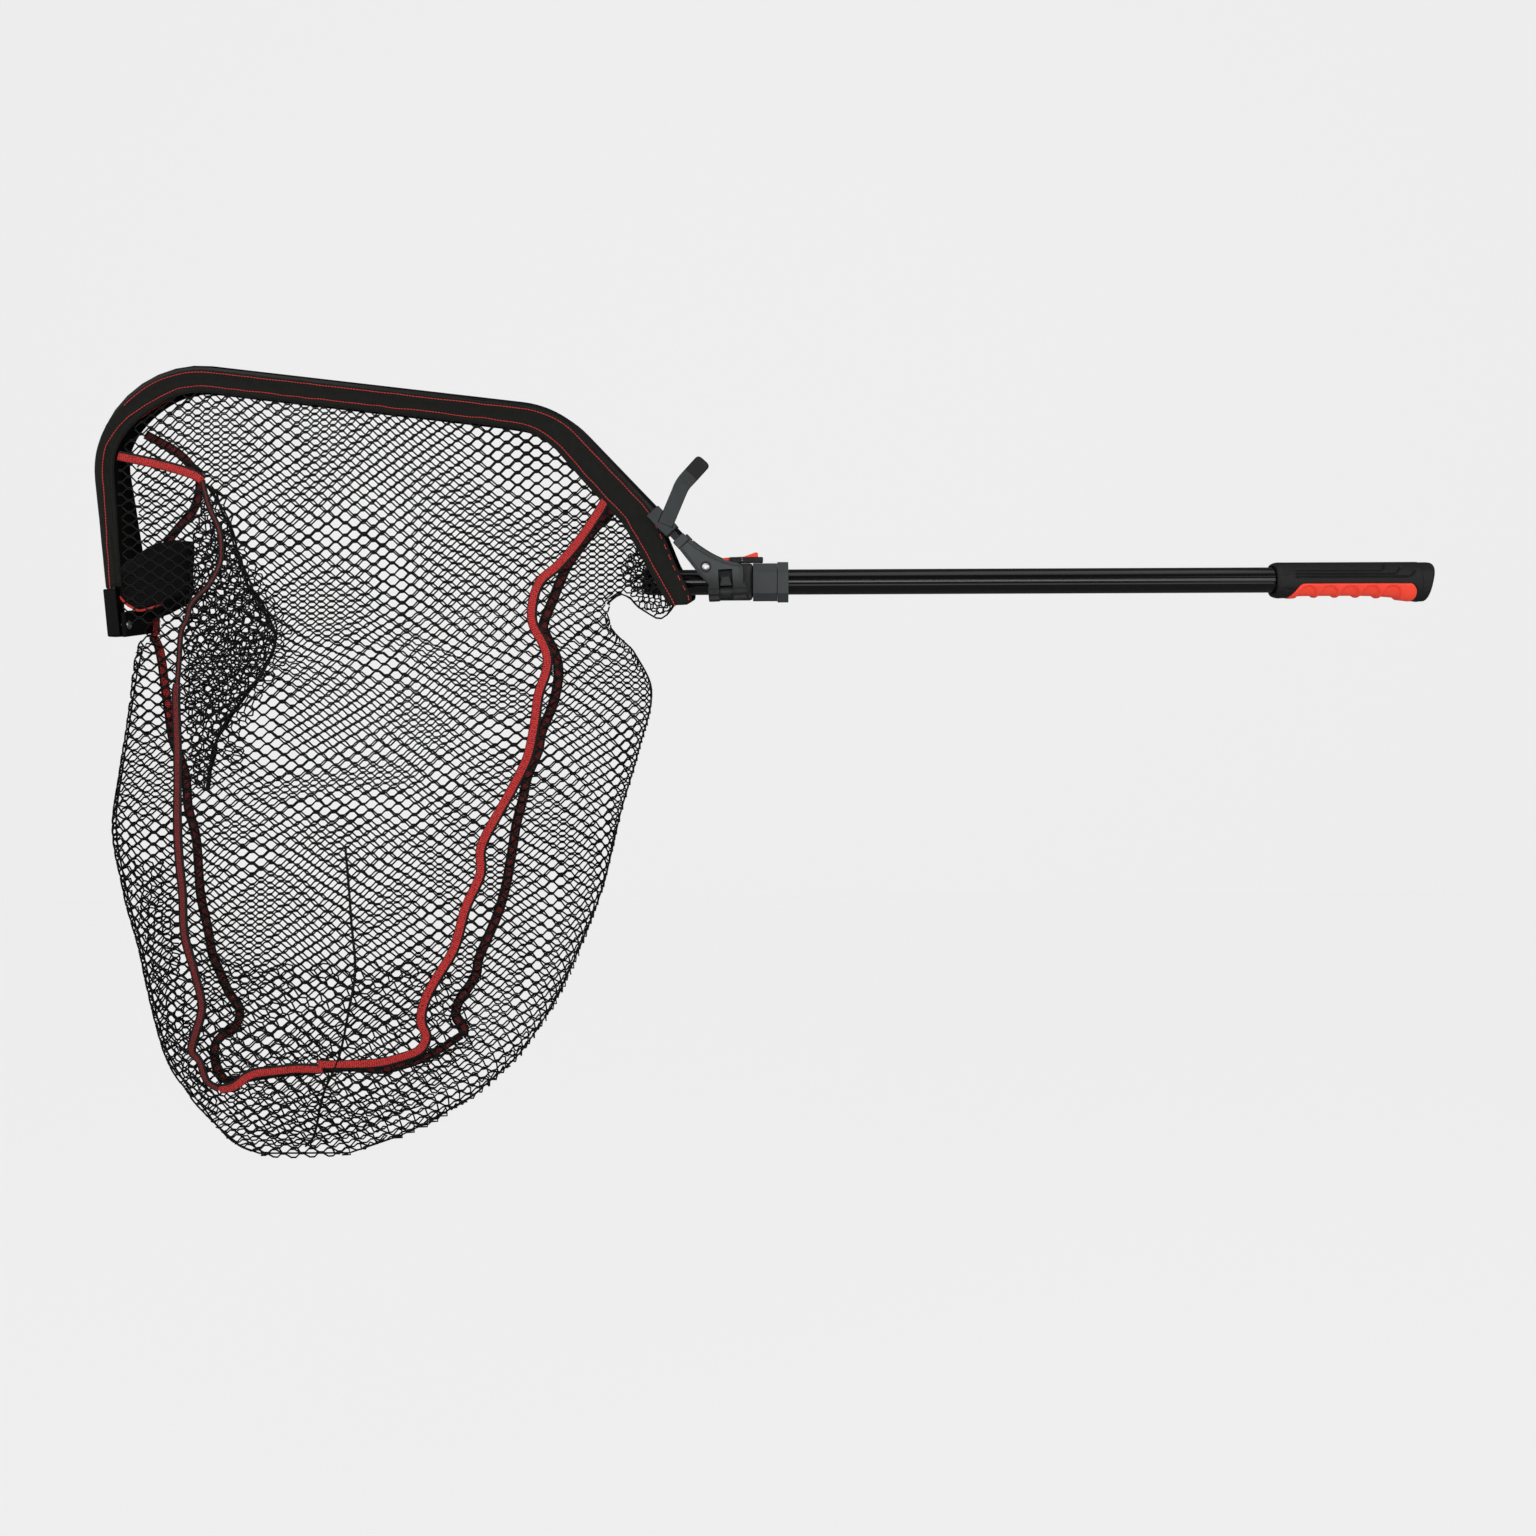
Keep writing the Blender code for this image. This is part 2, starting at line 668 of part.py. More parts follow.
# Saddle: the yoke's middle, sliding on the pole, with a hinge lug on each side
near_axis = fold_frame("near_fold_axis", -1)
far_axis = fold_frame("far_fold_axis", 1)
bore_radius = POLE_RADIUS + RUNNING
saddle_low = (SADDLE_FRONT_X, -SADDLE_HALF_WIDTH, SADDLE_BOTTOM)
saddle_high = (COLLAR_FRONT_X - GAP, SADDLE_HALF_WIDTH, SADDLE_TOP)
saddle = add_object("saddle", box(saddle_low, saddle_high), GREY_PLASTIC)
soften(saddle, SADDLE_ROUND, 2)
lug_front = WINDOW_FRONT_U + GAP
lug_back = WINDOW_BACK_U - GAP
latch_w = (LATCH_TOP_W + LATCH_FOOT_W) / 2
latch_u = (WINDOW_FRONT_U + WINDOW_BACK_U) / 2
for side, axis in ((-1, near_axis), (1, far_axis)):
    web_inner = -side * (HINGE_HALF - SADDLE_HALF_WIDTH + WEB_LAP)
    web_mesh = box((lug_front + WEB_INSET, min(0, web_inner), WEB_INSET - LUG_RADIUS),
                   (lug_back - WEB_INSET, max(0, web_inner), LUG_RADIUS - WEB_INSET))
    combine(saddle, add_object(f"web_{side}", web_mesh, GREY_PLASTIC, axis), "UNION")
    lug_mesh = rod(LUG_RADIUS, lug_front, lug_back)
    combine(saddle, add_object(f"lug_{side}", lug_mesh, GREY_PLASTIC, axis, ALONG_X), "UNION")
for side, axis in ((-1, near_axis), (1, far_axis)):
    hole_mesh = rod(PIN_RADIUS + RUNNING, ARM_FRONT_U, ARM_BACK_U, 32)
    combine(saddle, add_object(f"lug_hole_{side}", hole_mesh, STEEL, axis, ALONG_X), "DIFFERENCE")
bore_tool = rod(bore_radius, SADDLE_FRONT_X - OVERRUN, COLLAR_FRONT_X + OVERRUN, 48)
combine(saddle, add_object("saddle_bore", bore_tool, STEEL, None, ALONG_X), "DIFFERENCE")
lock_hole_radius = LOCK_PIN_RADIUS + LOCK_SWING / 2 + RUNNING
lock_hole_place = at(LOCK_PIN_X - LOCK_SWING / 2, 0, 0)
lock_hole = rod(lock_hole_radius, 0.0, SADDLE_TOP + OVERRUN)
combine(saddle, add_object("saddle_lock_hole", lock_hole, STEEL, None, lock_hole_place), "DIFFERENCE")


def collar_outline(step=0.0):
    """The collar's section across the pole: an oblong with broad chamfers."""
    wide, flat = COLLAR_HALF_WIDTH + step, COLLAR_FLAT
    top = SADDLE_TOP + step
    inner = wide - COLLAR_CHAMFER
    quarter = [(wide, flat), (inner, top)]
    upper = quarter + [(-x, y) for x, y in reversed(quarter)]
    return upper + [(-x, -y) for x, y in upper]


# Collar, its end ring and the bush that runs on the pole
bush_outer = bore_radius + BUSH_WALL
collar_length = COLLAR_BACK_X - COLLAR_FRONT_X
collar_mesh = extrude_outline([collar_outline(), circle(bush_outer + GAP, 48)], collar_length)
collar_place = at((COLLAR_FRONT_X + COLLAR_BACK_X) / 2, 0, 0) @ ACROSS
soften(add_object("collar", collar_mesh, GREY_PLASTIC, None, collar_place), COLLAR_ROUND, 1)
ring_start = COLLAR_BACK_X + GAP
ring_mesh = extrude_outline([collar_outline(RING_STEP), circle(bore_radius, 48)], RING_BACK_X - ring_start)
ring_place = at((ring_start + RING_BACK_X) / 2, 0, 0) @ ACROSS
soften(add_object("collar_ring", ring_mesh, GREY_PLASTIC, None, ring_place), RING_ROUND, 2)
bush_mesh = extrude_outline([circle(bush_outer, 48), circle(bore_radius, 48)], collar_length)
add_object("slide_bush", bush_mesh, BLACK_PLASTIC, None, collar_place)

# Button housing: an open channel on top of the saddle and the collar
housing_floor = SADDLE_TOP + GAP
housing_mesh = box((HOUSING_FRONT_X, -HOUSING_HALF_WIDTH, housing_floor),
                   (HOUSING_BACK_X, HOUSING_HALF_WIDTH, housing_floor + HOUSING_HEIGHT))
housing = soften(add_object("button_housing", housing_mesh, BLACK_PLASTIC), HOUSING_ROUND, 2)
channel_half = HOUSING_HALF_WIDTH - HOUSING_WALL
channel_mesh = box((HOUSING_FRONT_X - OVERRUN, -channel_half, housing_floor + HOUSING_WALL),
                   (HOUSING_BACK_X - HOUSING_WALL, channel_half, housing_floor + 2 * HOUSING_HEIGHT))
combine(housing, add_object("housing_channel", channel_mesh, BLACK_PLASTIC), "DIFFERENCE")
pivot_z = housing_floor + BUTTON_PIVOT_RISE
pivot_hole = rod(BUTTON_PIN_RADIUS + GAP, -HOUSING_HALF_WIDTH - OVERRUN, HOUSING_HALF_WIDTH + OVERRUN, 16)
combine(housing, add_object("housing_pin_hole", pivot_hole, STEEL, None,
                            at(BUTTON_PIVOT_X, 0, pivot_z) @ ALONG_Y), "DIFFERENCE")
floor_hole = rod(lock_hole_radius, housing_floor - OVERRUN, housing_floor + HOUSING_HEIGHT)
combine(housing, add_object("housing_lock_hole", floor_hole, STEEL, None, lock_hole_place), "DIFFERENCE")
pivot_mesh = rod(BUTTON_PIN_RADIUS, -HOUSING_HALF_WIDTH, HOUSING_HALF_WIDTH, 16)
add_object("button_pivot", pivot_mesh, STEEL, None, at(BUTTON_PIVOT_X, 0, pivot_z) @ ALONG_Y)

# Release button: a rocker on that pivot, with a ramped thumb pad at its back end
button_under = housing_floor + HOUSING_WALL + BUTTON_TRAVEL
button_back_under = button_under + BUTTON_SPRING_ROOM
button_strip = button_under + BUTTON_STRIP_THICK
button_top = housing_floor + BUTTON_RISE
button_outline = [(BUTTON_FRONT_X, button_under), (BUTTON_PIVOT_X, button_under),
                  (BUTTON_PIVOT_X + BUTTON_RELIEF, button_back_under), (BUTTON_BACK_X, button_back_under),
                  (BUTTON_BACK_X, button_top - BUTTON_PAD_EDGE),
                  (BUTTON_BACK_X - BUTTON_PAD_FLAT, button_top),
                  (BUTTON_PIVOT_X + BUTTON_PAD_FLAT, button_strip + BUTTON_RAMP_RISE),
                  (BUTTON_FRONT_X, button_strip)]
button_axis = bpy.data.objects.new("button_axis", None)
part_collection.objects.link(button_axis)
button_axis.location = (BUTTON_PIVOT_X, 0, pivot_z)
button_local = [(x - BUTTON_PIVOT_X, z - pivot_z) for x, z in button_outline]
button_mesh = extrude_outline([button_local], 2 * (channel_half - BUTTON_SIDE_GAP))
button = add_object("release_button", button_mesh, RED_RUBBER, button_axis, IN_PLANE)
button_hole = rod(BUTTON_PIN_RADIUS + GAP, -HOUSING_HALF_WIDTH, HOUSING_HALF_WIDTH, 16)
combine(button, add_object("button_hole", button_hole, STEEL, button_axis, ALONG_Y), "DIFFERENCE")
lock_low = POLE_RADIUS - GROOVE_DEPTH + GAP
lock_mesh = rod(LOCK_PIN_RADIUS, lock_low - pivot_z, button_under - GAP - pivot_z, 20)
add_object("lock_pin", lock_mesh, STEEL, button_axis, at(LOCK_PIN_X - BUTTON_PIVOT_X, 0, 0))
button_spring_x = BUTTON_BACK_X - BUTTON_SPRING_FROM_END
button_spring_z = housing_floor + HOUSING_WALL + GAP
spring_height = button_back_under - GAP - button_spring_z
button_spring = coil(BUTTON_SPRING_RADIUS, spring_height, BUTTON_SPRING_TURNS, SPRING_WIRE)
add_object("button_spring", button_spring, STEEL, None, at(button_spring_x, 0, button_spring_z))


def latch_parts(name, side, axis):
    """The spring catch in one arm's window, its stem in the saddle and its coil."""
    half_low = (WINDOW_BACK_U - WINDOW_FRONT_U) / 2 - 2 * GAP
    half_high = half_low - LATCH_TAPER
    outline = [(latch_u - half_low, LATCH_FOOT_W), (latch_u + half_low, LATCH_FOOT_W),
               (latch_u + half_high, LATCH_TOP_W), (latch_u - half_high, LATCH_TOP_W)]
    thick = LATCH_REACH + LATCH_INNER
    middle = side * (LATCH_REACH - LATCH_INNER) / 2
    tongue_mesh = extrude_outline([outline], thick)
    tongue = add_object(f"{name}_latch", tongue_mesh, BLACK_PLASTIC, axis, at(0, middle, 0) @ IN_PLANE)
    soften(tongue, LATCH_ROUND, 1)
    inner = -side * LATCH_INNER
    stem_ends = sorted((inner + side * STEM_LAP, inner - side * STEM_LENGTH))
    stem_mesh = rod(STEM_RADIUS, *stem_ends, 16)
    stem_place = at(latch_u, 0, latch_w) @ ALONG_Y
    combine(tongue, add_object(f"{name}_stem", stem_mesh, STEEL, axis, stem_place), "UNION")
    hole_ends = sorted((inner, inner - side * (STEM_LENGTH + LATCH_TRAVEL)))
    hole_mesh = rod(STEM_RADIUS + RUNNING, *hole_ends, 16)
    combine(saddle, add_object(f"{name}_stem_hole", hole_mesh, STEEL, axis, stem_place), "DIFFERENCE")
    seat = HINGE_HALF - SADDLE_HALF_WIDTH
    spring_length = seat - LATCH_INNER - 2 * GAP
    spring_mesh = coil(STEM_RADIUS + LATCH_SPRING_AROUND_STEM, spring_length, SPRING_TURNS, SPRING_WIRE)
    turn = Matrix.Rotation(math.radians(90 * side), 4, "X")
    add_object(f"{name}_latch_spring", spring_mesh, STEEL, axis,
               at(latch_u, -side * (LATCH_INNER + GAP), latch_w) @ turn)


# Hoop half: bar path, drawn along its middle from the foot at the tip to the rivet in the arm
arm_rivet = Vector((RIVET_U, RIVET_W))
to_rivet = arm_rivet - Vector(REAR_CORNER)
swing = math.asin(BAR_WIDTH / 2 / to_rivet.length)
diagonal = Matrix.Rotation(swing, 2) @ to_rivet.normalized()
outward = Vector((-diagonal.y, diagonal.x))
outer_end = arm_rivet + outward * BAR_WIDTH / 2
outer_path = fillet_path([(FRONT_FOOT_U, FRONT_FOOT_W), FRONT_CORNER, REAR_CORNER, outer_end],
                         [CORNER_RADIUS, CORNER_RADIUS])
front_line = (Vector(FRONT_CORNER) - Vector((FRONT_FOOT_U, FRONT_FOOT_W))).normalized()


def bar_path():
    """The bar's middle line: the outer edge moved in by half a bar, cut off inside the end fitting."""
    middle = offset_path(outer_path, BAR_WIDTH / 2)
    climb = (BAR_FOOT_W - middle[0].y) / front_line.y
    middle[0] = middle[0] + front_line * climb
    middle[-1] = middle[-1] + diagonal * BAR_PAST_RIVET
    return middle


rivet_place = at(arm_rivet.x, 0, arm_rivet.y) @ ALONG_Y


def diagonal_block(start, end, half_out, half_in, thickness):
    """A block along the bar's diagonal, measured back from the rivet."""
    near_end = arm_rivet - diagonal * start
    far_end = arm_rivet - diagonal * end
    outline = [near_end + outward * half_out, far_end + outward * half_out,
               far_end - outward * half_in, near_end - outward * half_in]
    return extrude_outline([[(p.x, p.y) for p in outline]], thickness)


def arm_outline():
    """An arm's side view: knuckles on the fold axis, a hollow upper edge and the bar's socket."""
    mouth = arm_rivet - diagonal * SOCKET_LENGTH
    upper = mouth + outward * SOCKET_HALF
    lower = mouth - outward * SOCKET_HALF
    shoulder = arm_rivet - outward * ARM_SHOULDER
    end_top = Vector((ARM_PLATE_BACK_U - ARM_PLATE_CORNER, ARM_TOP_W))
    control = Vector((upper.x * 0.3, ARM_CREST_W))
    points = [(ARM_FRONT_U, -KNUCKLE_RADIUS), (ARM_BACK_U, -KNUCKLE_RADIUS), (ARM_BACK_U, KNUCKLE_HEEL_W),
              (ARM_PLATE_BACK_U, KNUCKLE_HEEL_W), (ARM_PLATE_BACK_U, ARM_TOP_W - ARM_PLATE_CORNER),
              tuple(end_top)]
    for i in range(1, 8):
        t = i / 8
        place = end_top * (1 - t) ** 2 + control * 2 * t * (1 - t) + upper * t ** 2
        points.append(tuple(place))
    points += [tuple(upper), tuple(lower), tuple(shoulder), (ARM_FRONT_U, KNUCKLE_HEEL_W)]
    return points


def hem_inner(clearance):
    """The hem's inner edge: narrow up the front, where the band turns edge-on, and full along the top."""
    widths = []
    for step in range(len(outer_path)):
        turn = min(1.0, max(0.0, (step - 1) / CORNER_STEPS))
        widths.append(HEM_FRONT_WIDTH + (HEM_WIDTH - HEM_FRONT_WIDTH) * turn)
    base = BAR_WIDTH + GAP + clearance
    return [offset_path(outer_path, base + width)[i] for i, width in enumerate(widths)]


def hem_outline():
    """The hem band: inside the bar from the end fitting to the diagonal, then straight to its end."""
    edge = offset_path(outer_path, BAR_WIDTH + GAP)
    inner = hem_inner(0.0)
    climb = FITTING_LENGTH + 2 * GAP
    edge[0] = edge[0] + front_line * climb
    inner[0] = inner[0] + front_line * climb
    leave = outer_end - diagonal * HEM_LEAVES_BAR - outward * (BAR_WIDTH + GAP)
    edge[-1] = leave
    inner[-1] = leave - outward * HEM_WIDTH
    end_outer = Vector((HEM_END_U, HEM_FOOT_W))
    end_inner = end_outer - Vector((HEM_END_WIDTH, 0.0))
    return edge + [end_outer, end_inner] + list(reversed(inner))


def net_outline():
    """The net panel inside the hem, down to just above the fold axis."""
    inner = hem_inner(GAP)
    leave = outer_end - diagonal * HEM_LEAVES_BAR
    inner[-1] = leave - outward * (BAR_WIDTH + HEM_WIDTH + 2 * GAP)
    end = Vector((HEM_END_U - HEM_END_WIDTH - 2 * GAP, HEM_FOOT_W))
    side = inner[0] + front_line * ((HEM_FOOT_W - inner[0].y) / front_line.y)
    inner[0] = side + Vector((FITTING_WALL + GAP, 0.0))
    return inner + [end]


FITTING_WIDTH = BAR_WIDTH + 2 * FITTING_WALL


def fitting_outline():
    """The end fitting: a sleeve round the foot of the bar, down past the tip pin."""
    foot = Vector((FRONT_FOOT_U, FRONT_FOOT_W)) - Vector((FITTING_WALL, 0.0))
    head = foot + front_line * FITTING_LENGTH
    across = Vector((FITTING_WIDTH, 0.0))
    return [foot, foot + across, head + across, head]


link_u = FRONT_FOOT_U + FITTING_WIDTH - FITTING_WALL + GAP


def hoop_half(name, side, axis, lean):
    """All the pieces of one half, the same on both sides."""
    arm_mesh = extrude_outline([arm_outline()], ARM_THICK)
    arm = add_object(f"{name}_arm", arm_mesh, GREY_PLASTIC, lean, IN_PLANE)
    soften(arm, ARM_ROUND, 2)
    knuckle_mesh = rod(KNUCKLE_RADIUS, ARM_FRONT_U, ARM_BACK_U, 32)
    combine(arm, add_object(f"{name}_knuckle", knuckle_mesh, GREY_PLASTIC, lean, ALONG_X), "UNION")
    window_mesh = box((WINDOW_FRONT_U, -ARM_THICK, -2 * KNUCKLE_RADIUS),
                      (WINDOW_BACK_U, ARM_THICK, WINDOW_TOP_W))
    combine(arm, add_object(f"{name}_window", window_mesh, GREY_PLASTIC, lean), "DIFFERENCE")
    pin_hole = rod(PIN_RADIUS + RUNNING, 2 * ARM_FRONT_U, 2 * ARM_BACK_U)
    combine(arm, add_object(f"{name}_pin_hole", pin_hole, STEEL, lean, ALONG_X), "DIFFERENCE")
    half_slot = BAR_WIDTH / 2 + GAP
    slot_depth = BAR_DEPTH + 2 * GAP
    slot_mesh = diagonal_block(-BAR_PAST_RIVET - GAP, SOCKET_LENGTH + OVERRUN, half_slot, half_slot,
                               slot_depth)
    combine(arm, add_object(f"{name}_slot", slot_mesh, STEEL, lean, IN_PLANE), "DIFFERENCE")
    rivet_hole = rod(RIVET_RADIUS + GAP, -ARM_THICK, ARM_THICK, 20)
    combine(arm, add_object(f"{name}_rivet_hole", rivet_hole, STEEL, lean, rivet_place), "DIFFERENCE")
    hinge_pin = rod(PIN_RADIUS, ARM_FRONT_U + HINGE_PIN_INSET, ARM_BACK_U - HINGE_PIN_INSET)
    add_object(f"{name}_hinge_pin", hinge_pin, STEEL, axis, ALONG_X)

    cap_start = SOCKET_LENGTH + GAP
    cap_mesh = diagonal_block(cap_start, cap_start + SOCKET_CAP, SOCKET_HALF, SOCKET_HALF, ARM_THICK)
    cap = soften(add_object(f"{name}_socket_cap", cap_mesh, GREY_PLASTIC, lean, IN_PLANE), CLIP_ROUND, 2)
    cap_hole = diagonal_block(0, SOCKET_LENGTH + 2 * SOCKET_CAP, half_slot, half_slot, slot_depth)
    combine(cap, add_object(f"{name}_cap_hole", cap_hole, STEEL, lean, IN_PLANE), "DIFFERENCE")

    rivet_half = ARM_THICK / 2 + GAP
    rivet_top = rivet_half + RIVET_HEAD_RISE
    head_edge = rivet_half + RIVET_HEAD_RISE * 0.4
    upper = [(0.0, rivet_top), (RIVET_HEAD * 0.6, rivet_top), (RIVET_HEAD, head_edge),
             (RIVET_HEAD, rivet_half), (RIVET_RADIUS, rivet_half)]
    rivet_mesh = turned(upper + [(r, -z) for r, z in reversed(upper)], 24)
    add_object(f"{name}_arm_rivet", rivet_mesh, STEEL, lean, rivet_place)

    bar_mesh = sweep_bar(bar_path(), BAR_WIDTH, BAR_DEPTH, BAR_GROOVE)
    bar = add_object(f"{name}_bar", bar_mesh, BLACK_ALLOY, lean, IN_PLANE)
    bar_hole = rod(RIVET_RADIUS + GAP, -ARM_THICK, ARM_THICK, 20)
    combine(bar, add_object(f"{name}_bar_hole", bar_hole, STEEL, lean, rivet_place), "DIFFERENCE")

    hem_mesh = extrude_outline([pairs(hem_outline())], HEM_THICK)
    add_object(f"{name}_hem", hem_mesh, HEM_FABRIC, lean, IN_PLANE)
    net_mesh = extrude_outline([pairs(net_outline())], NET_THICK)
    add_object(f"{name}_net", net_mesh, NET_MESH, lean, IN_PLANE)

    fitting_mesh = extrude_outline([pairs(fitting_outline())], FITTING_THICK)
    fitting = add_object(f"{name}_tip_fitting", fitting_mesh, BLACK_ALLOY, lean, IN_PLANE)
    soften(fitting, FITTING_ROUND, 2)
    foot_path = offset_path(outer_path, BAR_WIDTH / 2)[:2]
    foot_path[0] = foot_path[0] + front_line * ((BAR_FOOT_W - GAP - foot_path[0].y) / front_line.y)
    foot_tool = sweep_bar(foot_path, BAR_WIDTH + 2 * GAP, BAR_DEPTH + 2 * GAP, 0.0)
    combine(fitting, add_object(f"{name}_foot_tool", foot_tool, STEEL, lean, IN_PLANE), "DIFFERENCE")
    tip_hole = rod(TIP_PIN_RADIUS + RUNNING, FRONT_FOOT_U + TIP_PIN_WALL - GAP, link_u + OVERRUN)
    combine(fitting, add_object(f"{name}_tip_hole", tip_hole, STEEL, lean, ALONG_X), "DIFFERENCE")
    pin_end = link_u + LINK_THICK + GAP
    pin_mesh = headed_rod(TIP_PIN_RADIUS, FRONT_FOOT_U + TIP_PIN_WALL, pin_end, TIP_PIN_HEAD,
                          TIP_PIN_HEAD_RISE)
    add_object(f"{name}_tip_pin", pin_mesh, STEEL, axis, ALONG_X)
    latch_parts(name, side, axis)


near_lean = leaning_frame("near_half_frame", -1)
far_lean = leaning_frame("far_half_frame", 1)
hoop_half("near", -1, near_axis, near_lean)
hoop_half("far", 1, far_axis, far_lean)

# Link plate at the tip, between the two end fittings
middle_axis = bpy.data.objects.new("middle_axis", None)
part_collection.objects.link(middle_axis)
middle_axis.matrix_world = at(0, HINGE_HALF, 0) @ near_axis.matrix_world
link_outline = [(-LINK_HALF_WIDTH, LINK_BOTTOM_W), (LINK_HALF_WIDTH, LINK_BOTTOM_W),
                (LINK_HALF_WIDTH, LINK_TOP_W), (-LINK_HALF_WIDTH, LINK_TOP_W)]
link_holes = [circle(TIP_PIN_RADIUS + GAP, 24, (side * HINGE_HALF, 0.0)) for side in (-1, 1)]
link_mesh = extrude_outline([link_outline] + link_holes, LINK_THICK)
link_place = at(link_u + LINK_THICK / 2, 0, 0) @ ACROSS
soften(add_object("tip_link", link_mesh, BLACK_ALLOY, middle_axis, link_place), LINK_ROUND, 1)

# Fabric flap at the tip, folded inwards between the halves
flap_start = link_u + LINK_THICK + TIP_PIN_HEAD_RISE + 3 * GAP
flap_tip = flap_start + FLAP_LENGTH
flap_inner = FLAP_HALF_WIDTH - FLAP_THICK
flap_outline = [(flap_start, -FLAP_HALF_WIDTH), (flap_tip, -FLAP_THICK), (flap_tip, FLAP_THICK),
                (flap_start, FLAP_HALF_WIDTH), (flap_start, flap_inner), (flap_tip - 3 * FLAP_THICK, 0.0),
                (flap_start, -flap_inner)]
flap_mesh = extrude_outline([flap_outline], FLAP_TOP - FLAP_BOTTOM)
add_object("tip_flap", flap_mesh, HEM_FABRIC, middle_axis, at(0, 0, (FLAP_TOP + FLAP_BOTTOM) / 2))

# Strap: a clip with a rimmed seat on the near bar, the strap's root in the seat and its free end above
clip_start = SOCKET_LENGTH + SOCKET_CAP + CLIP_FROM_CAP
clip_mesh = diagonal_block(clip_start, clip_start + CLIP_LENGTH, CLIP_WIDTH / 2, CLIP_WIDTH / 2, CLIP_THICK)
clip = soften(add_object("strap_clip", clip_mesh, STRAP_RUBBER, near_lean, IN_PLANE), CLIP_ROUND, 2)
clip_half = BAR_WIDTH / 2 + GAP
clip_hole = diagonal_block(clip_start - OVERRUN, clip_start + CLIP_LENGTH + OVERRUN, clip_half, clip_half,
                           BAR_DEPTH + 2 * GAP)
strap_y = -(CLIP_THICK / 2 + STRAP_THICK / 2 + GAP)
clip_middle = arm_rivet - diagonal * (clip_start + CLIP_LENGTH / 2)
strap_foot = clip_middle + outward * (CLIP_WIDTH / 2 + STRAP_THICK)
stem_way = Vector((math.cos(math.radians(STRAP_STEM_ANGLE)), math.sin(math.radians(STRAP_STEM_ANGLE))))
tip_way = Vector((math.cos(math.radians(STRAP_TIP_ANGLE)), math.sin(math.radians(STRAP_TIP_ANGLE))))
strap_bend = strap_foot + stem_way * STRAP_STEM
strap_tip = strap_bend + tip_way * STRAP_TIP


def ribbon(points, width):
    """The outline of a flat band along a bent line."""
    left = offset_path([Vector(p) for p in points], -width / 2)
    right = offset_path([Vector(p) for p in points], width / 2)
    return pairs(left + list(reversed(right)))


rim_front = strap_y - STRAP_THICK / 2 - CLIP_LIP
rim_back = CLIP_LIP - CLIP_THICK / 2
rim_mesh = diagonal_block(clip_start, clip_start + CLIP_LENGTH, CLIP_WIDTH / 2, CLIP_WIDTH / 2,
                          rim_back - rim_front)
rim_place = at(0, (rim_front + rim_back) / 2, 0) @ IN_PLANE
rim = soften(add_object("clip_rim", rim_mesh, STRAP_RUBBER, near_lean, rim_place), CLIP_ROUND, 2)
combine(clip, rim, "UNION")
seat_line = [strap_foot - stem_way * (STRAP_ROOT + GAP), strap_foot + stem_way * STRAP_ROOT]
seat_back = strap_y + STRAP_THICK / 2 + GAP / 2
seat_mesh = extrude_outline([ribbon(seat_line, STRAP_WIDTH + 2 * GAP)], OVERRUN)
seat_place = at(0, seat_back - OVERRUN / 2, 0) @ IN_PLANE
combine(clip, add_object("clip_seat", seat_mesh, STEEL, near_lean, seat_place), "DIFFERENCE")
combine(clip, add_object("clip_hole", clip_hole, STEEL, near_lean, IN_PLANE), "DIFFERENCE")

strap_axis = bpy.data.objects.new("strap_axis", None)
part_collection.objects.link(strap_axis)
strap_axis.parent = near_lean
strap_axis.location = (strap_foot.x, strap_y, strap_foot.y)
free_line = [p - strap_foot for p in (strap_foot + stem_way * GAP, strap_bend, strap_tip)]
strap_mesh = extrude_outline([ribbon(free_line, STRAP_WIDTH)], STRAP_THICK)
soften(add_object("strap", strap_mesh, STRAP_RUBBER, strap_axis, IN_PLANE), STRAP_ROUND, 2)
root_end = STRAP_THICK / 2 + 2 * GAP
root_line = [strap_foot - stem_way * STRAP_ROOT, strap_foot - stem_way * root_end]
root_mesh = extrude_outline([ribbon(root_line, STRAP_WIDTH)], STRAP_THICK)
root_place = at(0, strap_y, 0) @ IN_PLANE
soften(add_object("strap_root", root_mesh, STRAP_RUBBER, near_lean, root_place), ROOT_ROUND, 1)


# Bag: two side panels, two end panels and a floor, sewn together along their edges
def bag_level(depth):
    """Front edge, back edge and half thickness at a depth, by straight steps between the levels."""
    for above, below in zip(BAG_LEVELS, BAG_LEVELS[1:]):
        if depth <= below[0]:
            t = (depth - above[0]) / (below[0] - above[0])
            return [a + (b - a) * t for a, b in zip(above[1:], below[1:])]
    return list(BAG_LEVELS[-1][1:])


def bag_row(bm, depth, angles):
    """One row of points round the bag. The rim follows the dip of the fold axes, and lower rows level out."""
    front, back, half = bag_level(depth)
    middle, reach = (front + back) / 2, (back - front) / 2
    dip = math.tan(math.radians(HINGE_DIP)) * (1 - depth / BAG_LEVELS[-1][0])
    power = 2 / BAG_ROUNDNESS
    row = []
    for angle in angles:
        c, s = math.cos(math.radians(angle)), math.sin(math.radians(angle))
        x = middle + reach * math.copysign(abs(c) ** power, c)
        y = half * math.copysign(abs(s) ** power, s)
        z = HINGE_Z + BAG_RIM_W + (x - HINGE_X) * dip - depth
        row.append(bm.verts.new((x, y, z)))
    return row


def join_rows(bm, upper, lower, open_row=False):
    """Faces between two rows, pointing out of the bag. An open row leaves out every second face."""
    for k in range(len(upper) - 1):
        if open_row and k % 2 == 1:
            continue
        bm.faces.new((upper[k], lower[k], lower[k + 1], upper[k + 1]))


